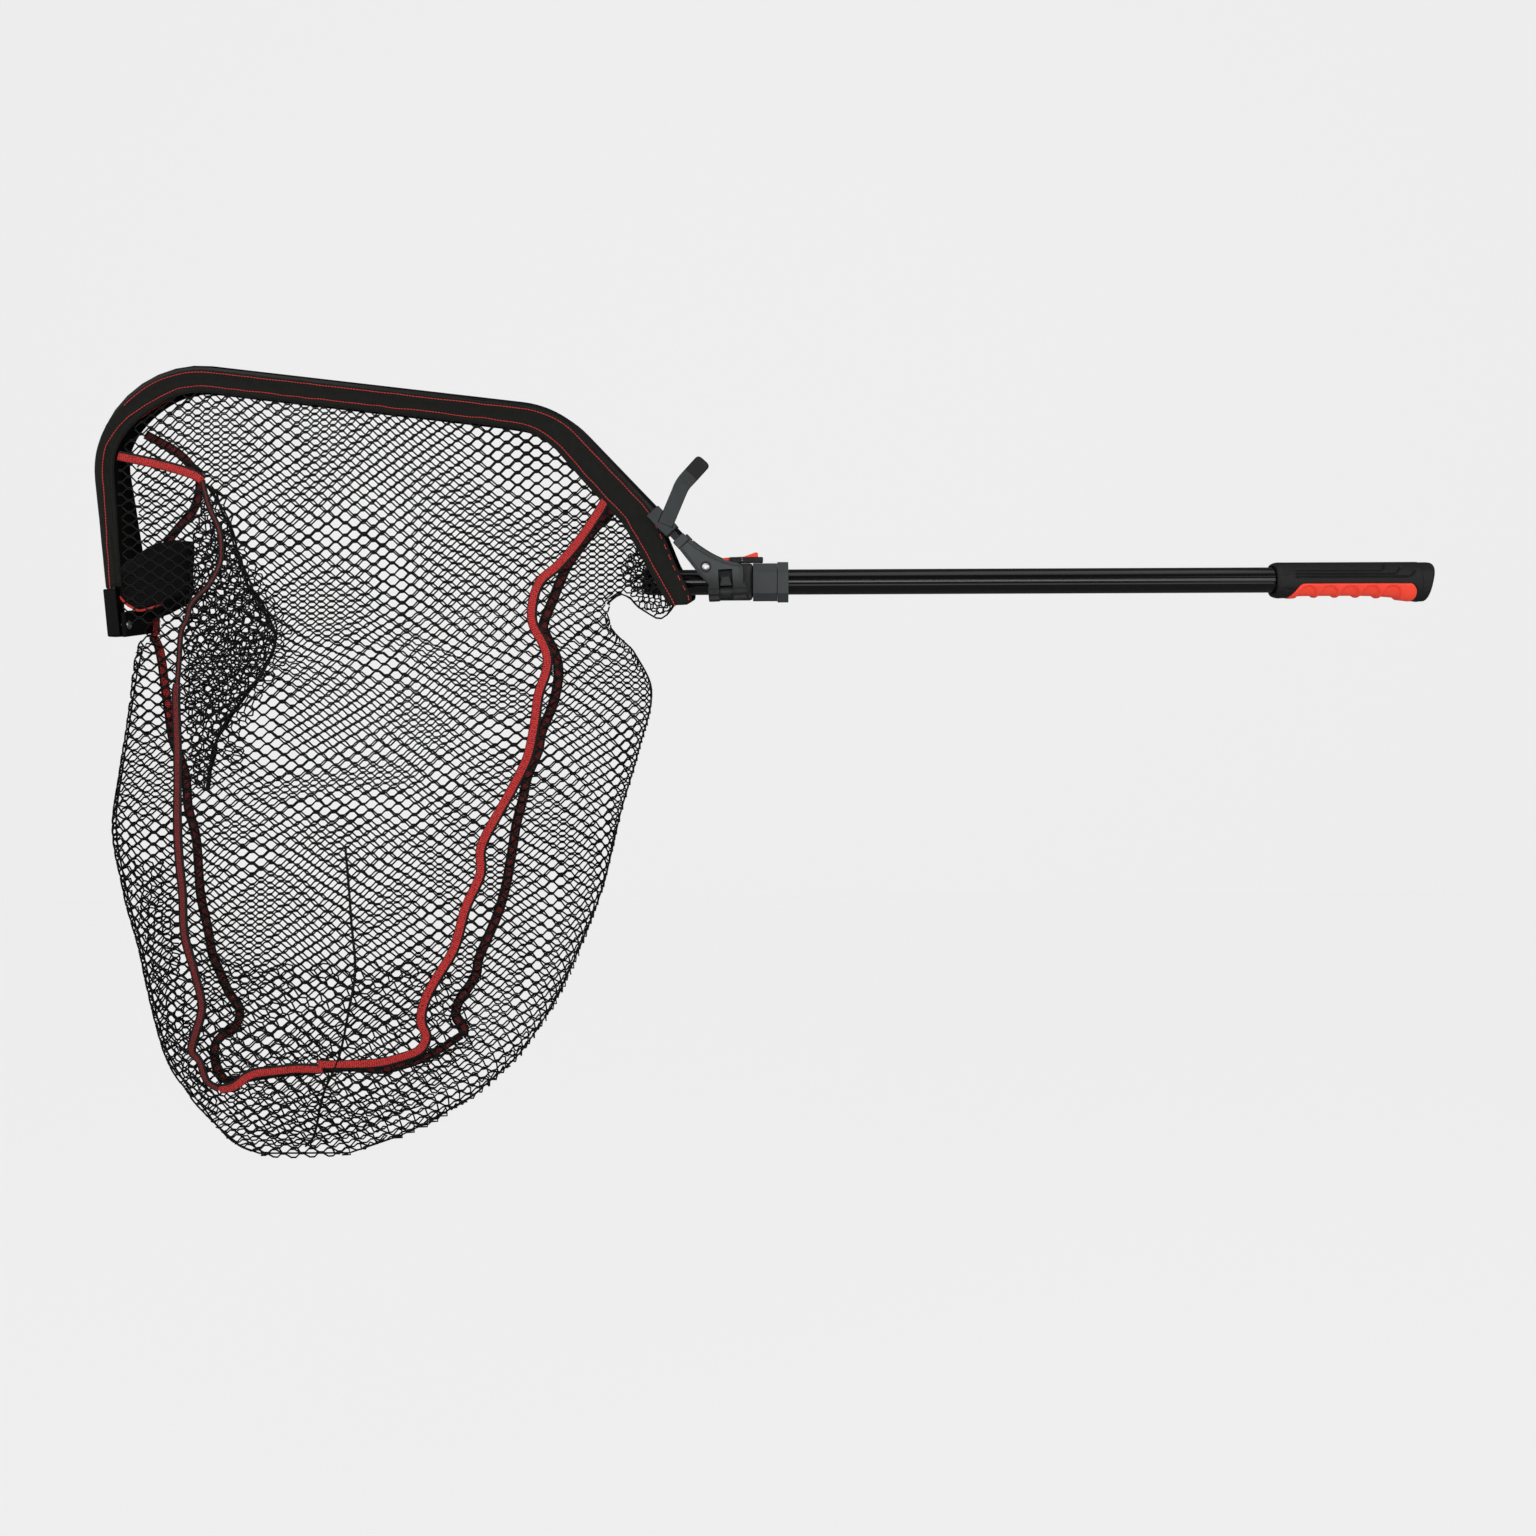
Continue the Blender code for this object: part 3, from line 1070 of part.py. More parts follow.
def bag_piece(name, bm):
    """Turn a surface of the bag into a part with the bag's wall."""
    mesh = bpy.data.meshes.new(name)
    bm.to_mesh(mesh)
    bm.free()
    piece = add_object(name, mesh, NET_MESH)
    wall = piece.modifiers.new("wall", "SOLIDIFY")
    wall.thickness = BAG_WALL
    wall.offset = -1.0


def mesh_lines(start, end, openings):
    """Edges of a row of openings with bars between them and half a bar at each end."""
    step = (end - start) / openings
    bar = step * MESH_BAR / MESH_PITCH
    lines = [start]
    for k in range(openings):
        lines += [start + k * step + bar / 2, start + (k + 1) * step - bar / 2]
    return lines + [end]


def bag_panel(name, start, end, openings):
    """A panel from the rim to the floor's seam, between two angles round the bag: a coarse mesh of bars."""
    bm = bmesh.new()
    angles = mesh_lines(start + SEAM_TRIM, end - SEAM_TRIM, openings)
    depths = mesh_lines(0.0, FLOOR_DEPTH - FLOOR_SEAM, OPENINGS_DOWN)
    levels = [bag_row(bm, depth, angles) for depth in depths]
    for i, (upper, lower) in enumerate(zip(levels, levels[1:])):
        join_rows(bm, upper, lower, open_row=i % 2 == 1)
    bag_piece(name, bm)


def bag_floor(name, columns=28, rows=3):
    """The floor: a bowl from the panels' lower edge down to the sagging foot."""
    bm = bmesh.new()
    angles = [360 * k / columns for k in range(columns)]
    total = BAG_LEVELS[-1][0]
    levels = [bag_row(bm, FLOOR_DEPTH + (total - FLOOR_DEPTH) * i / rows, angles) for i in range(rows + 1)]
    for upper, lower in zip(levels, levels[1:]):
        join_rows(bm, upper + upper[:1], lower + lower[:1])
    last = levels[-1]
    front, back, _ = BAG_LEVELS[-1][1:]
    foot_z = sum(v.co.z for v in last) / columns - BAG_SAG
    foot = bm.verts.new(((front + back) / 2, 0.0, foot_z))
    for first, second in zip(last, last[1:] + last[:1]):
        bm.faces.new((first, foot, second))
    bag_piece(name, bm)


bag_panel("bag_rear_panel", -PANEL_EDGE, PANEL_EDGE, END_OPENINGS)
bag_panel("bag_far_panel", PANEL_EDGE, 180 - PANEL_EDGE, SIDE_OPENINGS)
bag_panel("bag_front_panel", 180 - PANEL_EDGE, 180 + PANEL_EDGE, END_OPENINGS)
bag_panel("bag_near_panel", 180 + PANEL_EDGE, 360 - PANEL_EDGE, SIDE_OPENINGS)
bag_floor("bag_floor")

# Hem bridge: the band's end, slung under the pole from one half to the other
bridge_low = -POLE_RADIUS - BRIDGE_DROP
bridge_front_u = HEM_END_U - HEM_END_WIDTH
bridge_top = HINGE_Z + bridge_front_u * math.tan(math.radians(HINGE_DIP)) + HEM_FOOT_W - 2 * GAP
bridge_inner = BRIDGE_HALF_WIDTH - BRIDGE_THICK
inner_corner = BRIDGE_CORNER - BRIDGE_THICK
inner_knee = bridge_low + BRIDGE_CORNER_RISE + GAP
bridge_right = [(BRIDGE_HALF_WIDTH - BRIDGE_CORNER, bridge_low - BRIDGE_THICK),
                (BRIDGE_HALF_WIDTH, bridge_low + BRIDGE_CORNER_RISE), (BRIDGE_HALF_WIDTH, bridge_top),
                (bridge_inner, bridge_top), (bridge_inner, inner_knee),
                (bridge_inner - inner_corner, bridge_low)]
bridge_outline = bridge_right + [(-y, z) for y, z in reversed(bridge_right)]
bridge_mesh = extrude_outline([bridge_outline], HEM_END_WIDTH)
bridge_x = HINGE_X + HEM_END_U - HEM_END_WIDTH / 2
add_object("hem_bridge", bridge_mesh, HEM_FABRIC, None, at(bridge_x, 0, 0) @ ACROSS)
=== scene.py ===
import json
import math

import bmesh
import bpy
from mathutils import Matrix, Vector, kdtree, noise


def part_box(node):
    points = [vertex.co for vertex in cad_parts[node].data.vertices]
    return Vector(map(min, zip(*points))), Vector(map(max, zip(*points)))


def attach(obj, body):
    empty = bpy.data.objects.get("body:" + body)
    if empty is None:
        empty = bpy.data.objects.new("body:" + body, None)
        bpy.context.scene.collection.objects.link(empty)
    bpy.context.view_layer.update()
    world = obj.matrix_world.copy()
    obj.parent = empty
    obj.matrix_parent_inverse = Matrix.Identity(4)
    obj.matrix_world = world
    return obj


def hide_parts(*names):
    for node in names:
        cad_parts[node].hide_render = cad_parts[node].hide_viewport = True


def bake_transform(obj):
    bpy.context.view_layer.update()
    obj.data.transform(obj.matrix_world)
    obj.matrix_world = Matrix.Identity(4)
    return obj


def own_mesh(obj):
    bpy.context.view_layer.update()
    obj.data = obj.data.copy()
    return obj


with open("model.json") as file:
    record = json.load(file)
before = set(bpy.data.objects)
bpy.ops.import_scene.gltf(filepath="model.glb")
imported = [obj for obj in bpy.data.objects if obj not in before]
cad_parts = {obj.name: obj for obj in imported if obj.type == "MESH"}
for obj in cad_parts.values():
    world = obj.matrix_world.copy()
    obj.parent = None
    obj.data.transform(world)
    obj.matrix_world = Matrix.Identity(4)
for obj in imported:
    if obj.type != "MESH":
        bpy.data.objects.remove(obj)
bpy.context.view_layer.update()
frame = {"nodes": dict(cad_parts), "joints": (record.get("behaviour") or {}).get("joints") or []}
scene = bpy.context.scene
scene.view_settings.view_transform = "Standard"


# Studio: a pale floor far below the net and a pale wall behind it, with broad soft lamps.
# The floor and wall keep one even tone in front of the camera, and reflections see them far darker.
BACKDROP_TONE = 0.885
PALE = (BACKDROP_TONE, BACKDROP_TONE, BACKDROP_TONE, 1)
GLOW_SHARE = 0.9
REFLECTED_SHARE = 0.12
SKY_LIGHT = 0.60
FLOOR_Z = -1.0
WALL_Y = 2.6
STAGE_REACH = 9.0


def feed(tree, node, inputs):
    """Set a node's inputs: a socket is linked, and anything else is a plain value."""
    for socket, value in inputs.items():
        if isinstance(value, bpy.types.NodeSocket):
            tree.links.new(value, node.inputs[socket])
        else:
            node.inputs[socket].default_value = value


def add_node(tree, kind, inputs=None, **settings):
    """A node of a tree with its settings and inputs."""
    node = tree.nodes.new(kind)
    for setting, value in settings.items():
        setattr(node, setting, value)
    feed(tree, node, inputs or {})
    return node


def reckon(tree, operation, *terms, **settings):
    """The result of one sum on sockets and numbers."""
    sums = add_node(tree, "ShaderNodeMath", dict(enumerate(terms)), operation=operation, **settings)
    return sums.outputs[0]


def ramp(tree, value, start, end, low=0.0, high=1.0):
    """A value that runs from start to end while the given one runs from low to high."""
    limits = {"From Min": low, "From Max": high, "To Min": start, "To Max": end}
    return add_node(tree, "ShaderNodeMapRange", {"Value": value, **limits}).outputs["Result"]


def backdrop_material():
    """Pale paint that shows an even tone to the camera and keeps a little of the shadow."""
    mat = bpy.data.materials.new("backdrop_paint")
    mat.use_nodes = True
    tree = mat.node_tree
    tree.nodes.clear()
    path = add_node(tree, "ShaderNodeLightPath").outputs
    through = reckon(tree, "ADD", path["Is Glossy Ray"], path["Is Transmission Ray"])
    seen = reckon(tree, "ADD", path["Is Camera Ray"], through, use_clamp=True)
    paint = add_node(tree, "ShaderNodeBsdfDiffuse", {"Color": (0.8, 0.8, 0.8, 1)})
    strength = ramp(tree, path["Is Glossy Ray"], 1.0, REFLECTED_SHARE)
    glow = add_node(tree, "ShaderNodeEmission", {"Color": PALE, "Strength": strength})
    mix = add_node(tree, "ShaderNodeMixShader", {
        "Fac": reckon(tree, "MULTIPLY", seen, GLOW_SHARE), 1: paint.outputs[0], 2: glow.outputs[0]})
    add_node(tree, "ShaderNodeOutputMaterial", {"Surface": mix.outputs[0]})
    return mat


def stage_plane(name, corners, mat):
    """One flat piece of the stage."""
    mesh = bpy.data.meshes.new(name)
    mesh.from_pydata(corners, [], [range(len(corners))])
    mesh.materials.append(mat)
    plane = bpy.data.objects.new(name, mesh)
    scene.collection.objects.link(plane)


paint = backdrop_material()
stage_plane("floor", [(-STAGE_REACH, -STAGE_REACH, FLOOR_Z), (STAGE_REACH, -STAGE_REACH, FLOOR_Z),
                      (STAGE_REACH, WALL_Y, FLOOR_Z), (-STAGE_REACH, WALL_Y, FLOOR_Z)], paint)
stage_plane("back_wall", [(-STAGE_REACH, WALL_Y, FLOOR_Z), (STAGE_REACH, WALL_Y, FLOOR_Z),
                          (STAGE_REACH, WALL_Y, STAGE_REACH), (-STAGE_REACH, WALL_Y, STAGE_REACH)], paint)

world = bpy.data.worlds.new("studio")
scene.world = world
world.use_nodes = True
sky_path = add_node(world.node_tree, "ShaderNodeLightPath").outputs
sky_strength = ramp(world.node_tree, sky_path["Is Glossy Ray"], SKY_LIGHT, SKY_LIGHT * REFLECTED_SHARE)
feed(world.node_tree, world.node_tree.nodes["Background"], {"Color": PALE, "Strength": sky_strength})


def soft_lamp(name, place, target, size, watts):
    """A broad lamp aimed at a place."""
    lamp = bpy.data.lights.new(name, "AREA")
    lamp.shape = "RECTANGLE"
    lamp.size, lamp.size_y = size
    lamp.energy = watts
    obj = bpy.data.objects.new(name, lamp)
    scene.collection.objects.link(obj)
    obj.location = place
    obj.rotation_euler = (Vector(target) - Vector(place)).to_track_quat("-Z", "Y").to_euler()


soft_lamp("top_lamp", (-0.5, -0.5, 2.0), (-0.6, 0, 0), (2.6, 1.2), 11)
soft_lamp("front_lamp", (-0.4, -2.8, 0.35), (-0.4, 0, 0), (2.4, 0.5), 19)
soft_lamp("left_lamp", (-2.2, -1.8, 0.9), (-0.9, 0, -0.1), (1.4, 1.6), 18)
soft_lamp("right_lamp", (1.2, -2.0, 0.5), (-0.3, 0, 0), (1.4, 1.6), 14)

# Camera, square on to the folded hoop, a touch above the pole, with the pole rising slightly to the right
EYE = (-0.587, -1.3, 0.0291)
PHOTO_WIDTH_AT_POLE = 1.536
EYE_LEVEL_ABOVE_MIDDLE = 0.215
CAMERA_ROLL = math.radians(0.24)
camera_data = bpy.data.cameras.new("camera")
camera_data.sensor_width = 36.0
camera_data.lens = camera_data.sensor_width * -EYE[1] / PHOTO_WIDTH_AT_POLE
camera_data.shift_y = -EYE_LEVEL_ABOVE_MIDDLE / PHOTO_WIDTH_AT_POLE
camera = bpy.data.objects.new("camera", camera_data)
scene.collection.objects.link(camera)
camera.location = EYE
camera.rotation_euler = (math.radians(90), CAMERA_ROLL, 0)
scene.camera = camera


# Finishes. Moulded, cast and drawn surfaces share one effect: a slow mottle and a fine grain.
GLOSS_DRIFT = 0.07


def new_group(name, kind, inputs, outputs):
    """A node group, its input's sockets and its output node. A socket is given by its kind or first value."""
    tree = bpy.data.node_groups.new(name, kind)
    for way, sockets in (("INPUT", inputs), ("OUTPUT", outputs)):
        for label, value in sockets.items():
            sort = value if isinstance(value, str) else type(value).__name__.title()
            socket = tree.interface.new_socket(label, in_out=way, socket_type=f"NodeSocket{sort}")
            if sort != value:
                socket.default_value = value
    return tree, tree.nodes.new("NodeGroupInput").outputs, tree.nodes.new("NodeGroupOutput")


def grain_group():
    """Two noises on the piece's own coordinates, with a stretch along the pole for drawn metal."""
    group, given, made = new_group("mottle_and_grain", "ShaderNodeTree",
                                   {"Mottle Scale": 30.0, "Grain Scale": 2500.0, "Stretch": 1.0},
                                   {"Mottle": "Float", "Grain": "Float"})
    place = add_node(group, "ShaderNodeTexCoord").outputs["Object"]
    parts = add_node(group, "ShaderNodeSeparateXYZ", {0: place}).outputs
    along = reckon(group, "MULTIPLY", parts["X"], given["Stretch"])
    drawn = {"X": along, "Y": parts["Y"], "Z": parts["Z"]}
    vector = add_node(group, "ShaderNodeCombineXYZ", drawn).outputs[0]
    for label, detail in (("Mottle", 3.0), ("Grain", 1.0)):
        cloud = add_node(group, "ShaderNodeTexNoise", {
            "Vector": vector, "Scale": given[f"{label} Scale"], "Detail": detail})
        feed(group, made, {label: cloud.outputs["Fac"]})
    return group


GRAIN = grain_group()


def linear(red, green, blue):
    """A colour from its picture values, 0 to 255."""
    return tuple(((c / 255 + 0.055) / 1.055) ** 2.4 if c > 10 else c / 255 / 12.92
                 for c in (red, green, blue))


def new_finish(name):
    """A new material, its node tree and its main shader."""
    mat = bpy.data.materials.new(name)
    mat.use_nodes = True
    return mat, mat.node_tree, mat.node_tree.nodes["Principled BSDF"]


def two_tones(tree, share, dark, light):
    """A colour between two tones."""
    ends = {"A": (*dark, 1), "B": (*light, 1)}
    return add_node(tree, "ShaderNodeMix", {"Factor": share, **ends}, data_type="RGBA").outputs["Result"]


def relief(tree, height, strength, depth):
    """The surface's normal, tilted by a height over it."""
    bump = add_node(tree, "ShaderNodeBump", {"Height": height, "Strength": strength, "Distance": depth})
    return bump.outputs["Normal"]


def finish(name, dark, light, rough, grain=2500.0, mottle=30.0, bump=0.2, depth=0.0002, metal=0.0,
           stretch=1.0, shine=0.5):
    """A moulded or metal finish: colour drifts between two tones, and the grain shows as bump."""
    mat, tree, shader = new_finish(name)
    scales = {"Mottle Scale": mottle, "Grain Scale": grain, "Stretch": stretch}
    effect = add_node(tree, "ShaderNodeGroup", scales, node_tree=GRAIN).outputs
    feed(tree, shader, {
        "Metallic": metal, "Specular IOR Level": shine,
        "Base Color": two_tones(tree, effect["Mottle"], dark, light),
        "Roughness": ramp(tree, effect["Mottle"], rough - GLOSS_DRIFT, rough + GLOSS_DRIFT),
        "Normal": relief(tree, effect["Grain"], bump, depth)})
    return mat


def shade_foot(mat, low, high, share):
    """Paint shade into a finish: its colour darkens below a height."""
    tree = mat.node_tree
    place = add_node(tree, "ShaderNodeTexCoord").outputs["Object"]
    height = add_node(tree, "ShaderNodeSeparateXYZ", {0: place}).outputs["Z"]
    shader = tree.nodes["Principled BSDF"]
    tone = shader.inputs["Base Color"].links[0].from_socket
    shade = ramp(tree, height, share, 1.0, low, high)
    shaded = add_node(tree, "ShaderNodeVectorMath", {0: tone, "Scale": shade}, operation="SCALE")
    feed(tree, shader, {"Base Color": shaded.outputs["Vector"]})


def coat(mat, *nodes):
    """Give CAD nodes their finish."""
    for node in nodes:
        materials = frame["nodes"][node].data.materials
        materials.clear()
        materials.append(mat)


# Pole, hoop bars and tip: drawn black alloy under a gloss coat, dull black end fittings, and black plastic
# for the plug and the spigot in the pole's ends.
black_alloy = finish("black_alloy", linear(5, 5, 5), linear(12, 12, 12), 0.18, 900.0, 40.0, 0.05, 0.00005,
                     stretch=0.06, shine=0.5)
bar_alloy = finish("bar_alloy", linear(3, 3, 3), linear(8, 8, 8), 0.28, 900.0, 40.0, 0.05, 0.00005, shine=0.2)
black_plastic = finish("black_plastic", linear(10, 10, 10), linear(19, 19, 18), 0.5, shine=0.35)
fitting_black = finish("fitting_black", linear(3, 3, 3), linear(8, 8, 8), 0.5, shine=0.1)
coat(black_alloy, "pole_tube")
coat(bar_alloy, "near_bar", "far_bar")
coat(fitting_black, "near_tip_fitting", "far_tip_fitting", "tip_link")
coat(black_plastic, "pole_plug", "grip_core")

# Yoke: grey moulded arms and collar, saddle and catches in a darker grey that paints their shade, black bush
# and housing, a red rocker, and bright pins and springs. The arms darken towards their feet with painted
# shade.
MOULDED = {"rough": 0.5, "grain": 2200.0, "mottle": 45.0, "bump": 0.3, "shine": 0.4}
grey_plastic = finish("grey_plastic", linear(42, 46, 47), linear(58, 62, 63), **MOULDED)
# A darker copy of the grey moulding for the saddle, pivot and catches: painted shade.
shaded_grey_plastic = finish("shaded_grey_plastic", linear(24, 26, 26), linear(37, 39, 39), **MOULDED)
red_rubber = finish("red_rubber", linear(234, 57, 37), linear(243, 72, 50), 0.5, 2600.0, 50.0, 0.15,
                    shine=0.3)
steel = finish("bright_steel", linear(196, 196, 194), linear(226, 226, 224), 0.4, 1500.0, 80.0, 0.1, 0.0001,
               metal=1.0)
arm_plastic = finish("arm_plastic", linear(46, 50, 51), linear(62, 66, 67), **MOULDED)
# Painted shade: the arms' colour darkens towards their feet.
shade_foot(arm_plastic, -0.002, 0.012, 0.15)
coat(grey_plastic, "collar", "collar_ring", "near_socket_cap", "far_socket_cap")
coat(arm_plastic, "near_arm", "far_arm")
coat(shaded_grey_plastic, "saddle", "button_pivot", "near_latch", "far_latch")
coat(black_plastic, "slide_bush", "button_housing")
coat(red_rubber, "release_button")
coat(steel, "button_spring", "lock_pin", "near_latch_spring", "far_latch_spring", "near_hinge_pin",
     "far_hinge_pin", "near_arm_rivet", "far_arm_rivet", "near_tip_pin", "far_tip_pin")

# Fold axes and the planes of the two halves, which the hem and the net are drawn in.
# u runs along a half's fold axis towards the grip, w away from it, and v out of the folded pair.
FOLD = {side: next(j for j in frame["joints"] if j["name"] == name)
        for side, name in ((-1, "near_fold"), (1, "far_fold"))}
PIVOT = {side: Vector(joint["pos_m"]) for side, joint in FOLD.items()}
LEAN = math.radians(5.1)
ALONG = Vector(FOLD[-1]["axis"]).normalized()
ABOVE = Vector((-ALONG.z, 0, ALONG.x))
SIDES = {-1: "near", 1: "far"}


def half_point(side, u, w, v=0.0):
    """A point of one half's plane, in the part's frame. v is the distance out from that plane."""
    out = Vector((0, side, 0))
    rise = ABOVE * math.cos(LEAN) - out * math.sin(LEAN)
    normal = out * math.cos(LEAN) + ABOVE * math.sin(LEAN)
    return PIVOT[side] + ALONG * u + rise * w + normal * v


def across_fold(piece):
    """Bake a soft piece's placing into its mesh."""
    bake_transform(piece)


# Outer edge of a half, as the bar is bent: foot at the tip, two round corners, end beside the arm's rivet
HOOP_CORNERS = [(-0.602, -0.011), (-0.6277, 0.2742), (-0.1576, 0.1927), (-0.0169, 0.0281)]
HOOP_RADIUS = 0.100


def rounded_path(points, radius, steps=24):
    """A polyline whose inner corners are arcs."""
    path = [Vector(points[0])]
    for before, corner, after in zip(points, points[1:], points[2:]):
        corner = Vector(corner)
        back = (Vector(before) - corner).normalized()
        ahead = (Vector(after) - corner).normalized()
        half = back.angle(ahead) / 2
        centre = corner + (back + ahead).normalized() * (radius / math.sin(half))
        start = corner + back * (radius / math.tan(half)) - centre
        turn = math.pi - 2 * half
        side = 1 if back.x * ahead.y - back.y * ahead.x < 0 else -1
        for i in range(steps + 1):
            angle = side * turn * i / steps
            c, s = math.cos(angle), math.sin(angle)
            path.append(centre + Vector((start.x * c - start.y * s, start.x * s + start.y * c)))
    path.append(Vector(points[-1]))
    return path


def distances(path):
    """How far along a line each of its points lies."""
    lengths = [0.0]
    for a, b in zip(path, path[1:]):
        lengths.append(lengths[-1] + (b - a).length)
    return lengths


def heading(path, i):
    """The direction of a line at one of its points."""
    return (path[min(i + 1, len(path) - 1)] - path[max(i - 1, 0)]).normalized()


def even_path(path, step):
    """The same line with points at an even step."""
    lengths = distances(path)
    count = max(2, round(lengths[-1] / step))
    points, k = [], 0
    for i in range(count + 1):
        goal = lengths[-1] * i / count
        while k < len(path) - 2 and lengths[k + 1] < goal:
            k += 1
        t = (goal - lengths[k]) / (lengths[k + 1] - lengths[k])
        points.append(path[k].lerp(path[k + 1], t))
    return points


hoop_edge = even_path(rounded_path(HOOP_CORNERS, HOOP_RADIUS), 0.004)


def edge_inward(i):
    """The direction into the hoop at a point of its outer edge."""
    along = heading(hoop_edge, i)
    return Vector((along.y, -along.x))


# Hem: a charcoal woven strip folded round the net's edge and the inner side of the bar, sewn with two
# red seams. It turns edge-on up the front, and leaves the bar at the rear to run down beside the pole.
HEM_LIP = 0.0045
HEM_INNER = 0.0262
HEM_REAR_EXTRA = 0.0075
HEM_FRONT_LIP = {-1: 0.0008, 1: -0.0070}
HEM_FRONT_SEAM = 0.0050
HEM_FRONT_INNER = 0.0165
HEM_FRONT_TAPER = 0.0030
HEM_BAR = 0.0095
HEM_START_W = 0.0365
HEM_LEAVES_BAR = 0.085
HEM_END_U = -0.0325
HEM_END_WIDTH = 0.026
HEM_FOOT_W = -0.0100
HEM_FOOT_ROUND = 0.009
HEM_CLOTH = 0.0008
HEM_OVER_BAR = 0.0054
HEM_FLAT = 0.0030
HEM_PUCKER = (0.00045, 0.00022)
HEM_FRONT_U = -0.5
HEM_TURN_W = (0.165, 0.245)
HEM_REAR_U = (-0.22, -0.09)
HEM_SLACK = 0.004
HEM_DROP_STEPS = 40
HEM_ON_BAR = (0.24, 0.86)
SEAM_WOBBLE = 0.0004
SEAM_OUTER = 0.0028
SEAM_INNER = 0.0056


def smooth_step(low, high, value):
    """0 up to low, 1 from high on, and a soft step between."""
    t = min(1.0, max(0.0, (value - low) / (high - low)))
    return t * t * (3 - 2 * t)


def hem_stations(side):
    """Outer lip and inner edge from the end fitting to the foot by the pole, with the share of the bar that
    the strip still wraps and its share of the narrow front run."""
    stations = []
    rivet = Vector(HOOP_CORNERS[-1])
    diagonal = (rivet - Vector(HOOP_CORNERS[-2])).normalized()
    outward = Vector((-diagonal.y, diagonal.x))
    leave = rivet - diagonal * HEM_LEAVES_BAR
    for i, edge in enumerate(hoop_edge):
        if edge.y < HEM_START_W and edge.x < HEM_FRONT_U:
            continue
        if edge.x > leave.x:
            break
        inward = edge_inward(i)
        full = smooth_step(*HEM_TURN_W, edge.y) if edge.x < HEM_FRONT_U else 1.0
        lip = HEM_FRONT_LIP[side] + (HEM_LIP - HEM_FRONT_LIP[side]) * full
        inner = HEM_FRONT_INNER + (HEM_INNER - HEM_FRONT_INNER) * full
        inner -= HEM_FRONT_TAPER * (1 - smooth_step(HEM_START_W, 0.16, edge.y)) * (1 - full)
        inner += HEM_REAR_EXTRA * smooth_step(*HEM_REAR_U, edge.x)
        stations.append((edge + inward * lip, edge + inward * inner, 1.0, 1 - full))
    last_lip, last_inner = stations[-1][:2]
    end_lip = Vector((HEM_END_U, HEM_FOOT_W))
    end_inner = end_lip - Vector((HEM_END_WIDTH, 0))
    for i in range(1, HEM_DROP_STEPS + 1):
        t = i / HEM_DROP_STEPS
        ease = smooth_step(0.0, 1.0, t)
        lip = last_lip.lerp(end_lip, t) + outward * HEM_SLACK * math.sin(math.pi * min(1, t * 1.6)) * (1 - t)
        short = max(0.0, HEM_FOOT_ROUND + HEM_FOOT_W - lip.y)
        lip.x -= HEM_FOOT_ROUND - math.sqrt(HEM_FOOT_ROUND ** 2 - min(short, HEM_FOOT_ROUND) ** 2)
        stations.append((lip, last_inner.lerp(end_inner, t), 1.0 - smooth_step(0.0, 0.3, ease), 0.0))
    return stations


def hem_profile(wraps, on_bar):
    """Half of the strip's section from its lip to its folded edge: (share across, stand-off from the plane).
    on_bar is the share of its width that lies on the bar."""
    flat = HEM_FLAT
    lip = flat + (HEM_OVER_BAR - flat) * wraps
    on = [(0.0, lip), (0.25, lip + 0.0004), (0.6, lip - 0.0001), (1.0, lip * 0.98)]
    past = [(0.16, flat * 1.25), (0.34, flat * 1.05), (0.5, flat * 0.98), (0.625, flat * 0.72),
            (0.66, flat * 0.66), (0.69, flat * 0.72), (0.82, flat * 0.82), (0.92, flat * 0.66),
            (0.98, flat * 0.36)]
    return [(on_bar * a, b) for a, b in on] + [(on_bar + (1 - on_bar) * a, b) for a, b in past]


def read_off(table, value):
    """The other columns of a table at a value of its first one, held at both ends."""
    for before, after in zip(table, table[1:]):
        if value <= after[0]:
            t = max(0.0, (value - before[0]) / (after[0] - before[0]))
            return [a + (b - a) * t for a, b in zip(before[1:], after[1:])]
    return table[-1][1:]


def crumple(*place):
    """A smooth unevenness between -1 and 1 at a place."""
    return noise.noise(Vector(place))


def hem_ripple(distance, across):
    """How far the cloth puckers between its seams."""
    slow = HEM_PUCKER[0] * crumple(distance * 38, across * 2.2, 3.7)
    return slow + HEM_PUCKER[1] * crumple(distance * 140, across * 5.0, 9.1)


def add_piece(name, mesh, mat):
    """A new piece at the origin with its finish."""
    obj = bpy.data.objects.new(name, mesh)
    scene.collection.objects.link(obj)
    if mat:
        mesh.materials.append(mat)
    return obj


def strip_mesh(name, rows, second_from=None):
    """A surface through rows of points, with a UV map in metres along and across. Columns from second_from
    on take the second material."""
    mesh = bpy.data.meshes.new(name)
    bm = bmesh.new()
    uv = bm.loops.layers.uv.new("UVMap")
    grid = [[bm.verts.new(p) for p in row] for row in rows]
    along = distances([row[len(row) // 2] for row in rows])
    across = distances(rows[len(rows) // 2])
    for i in range(len(rows) - 1):
        for k in range(len(rows[0]) - 1):
            face = bm.faces.new((grid[i][k], grid[i][k + 1], grid[i + 1][k + 1], grid[i + 1][k]))
            face.smooth = True
            face.material_index = int(second_from is not None and k >= second_from)
            for loop, (m, n) in zip(face.loops, ((i, k), (i, k + 1), (i + 1, k + 1), (i + 1, k))):
                loop[uv].uv = (along[m], across[n])
    bm.to_mesh(mesh)
    bm.free()
    return mesh, along[-1], across[-1]


def thicken(obj, thickness, offset=0.0):
    """Give a cloth its thickness and keep the result as a plain mesh."""
    wall = obj.modifiers.new("cloth", "SOLIDIFY")
    wall.thickness = thickness
    wall.offset = offset
    settle(obj)


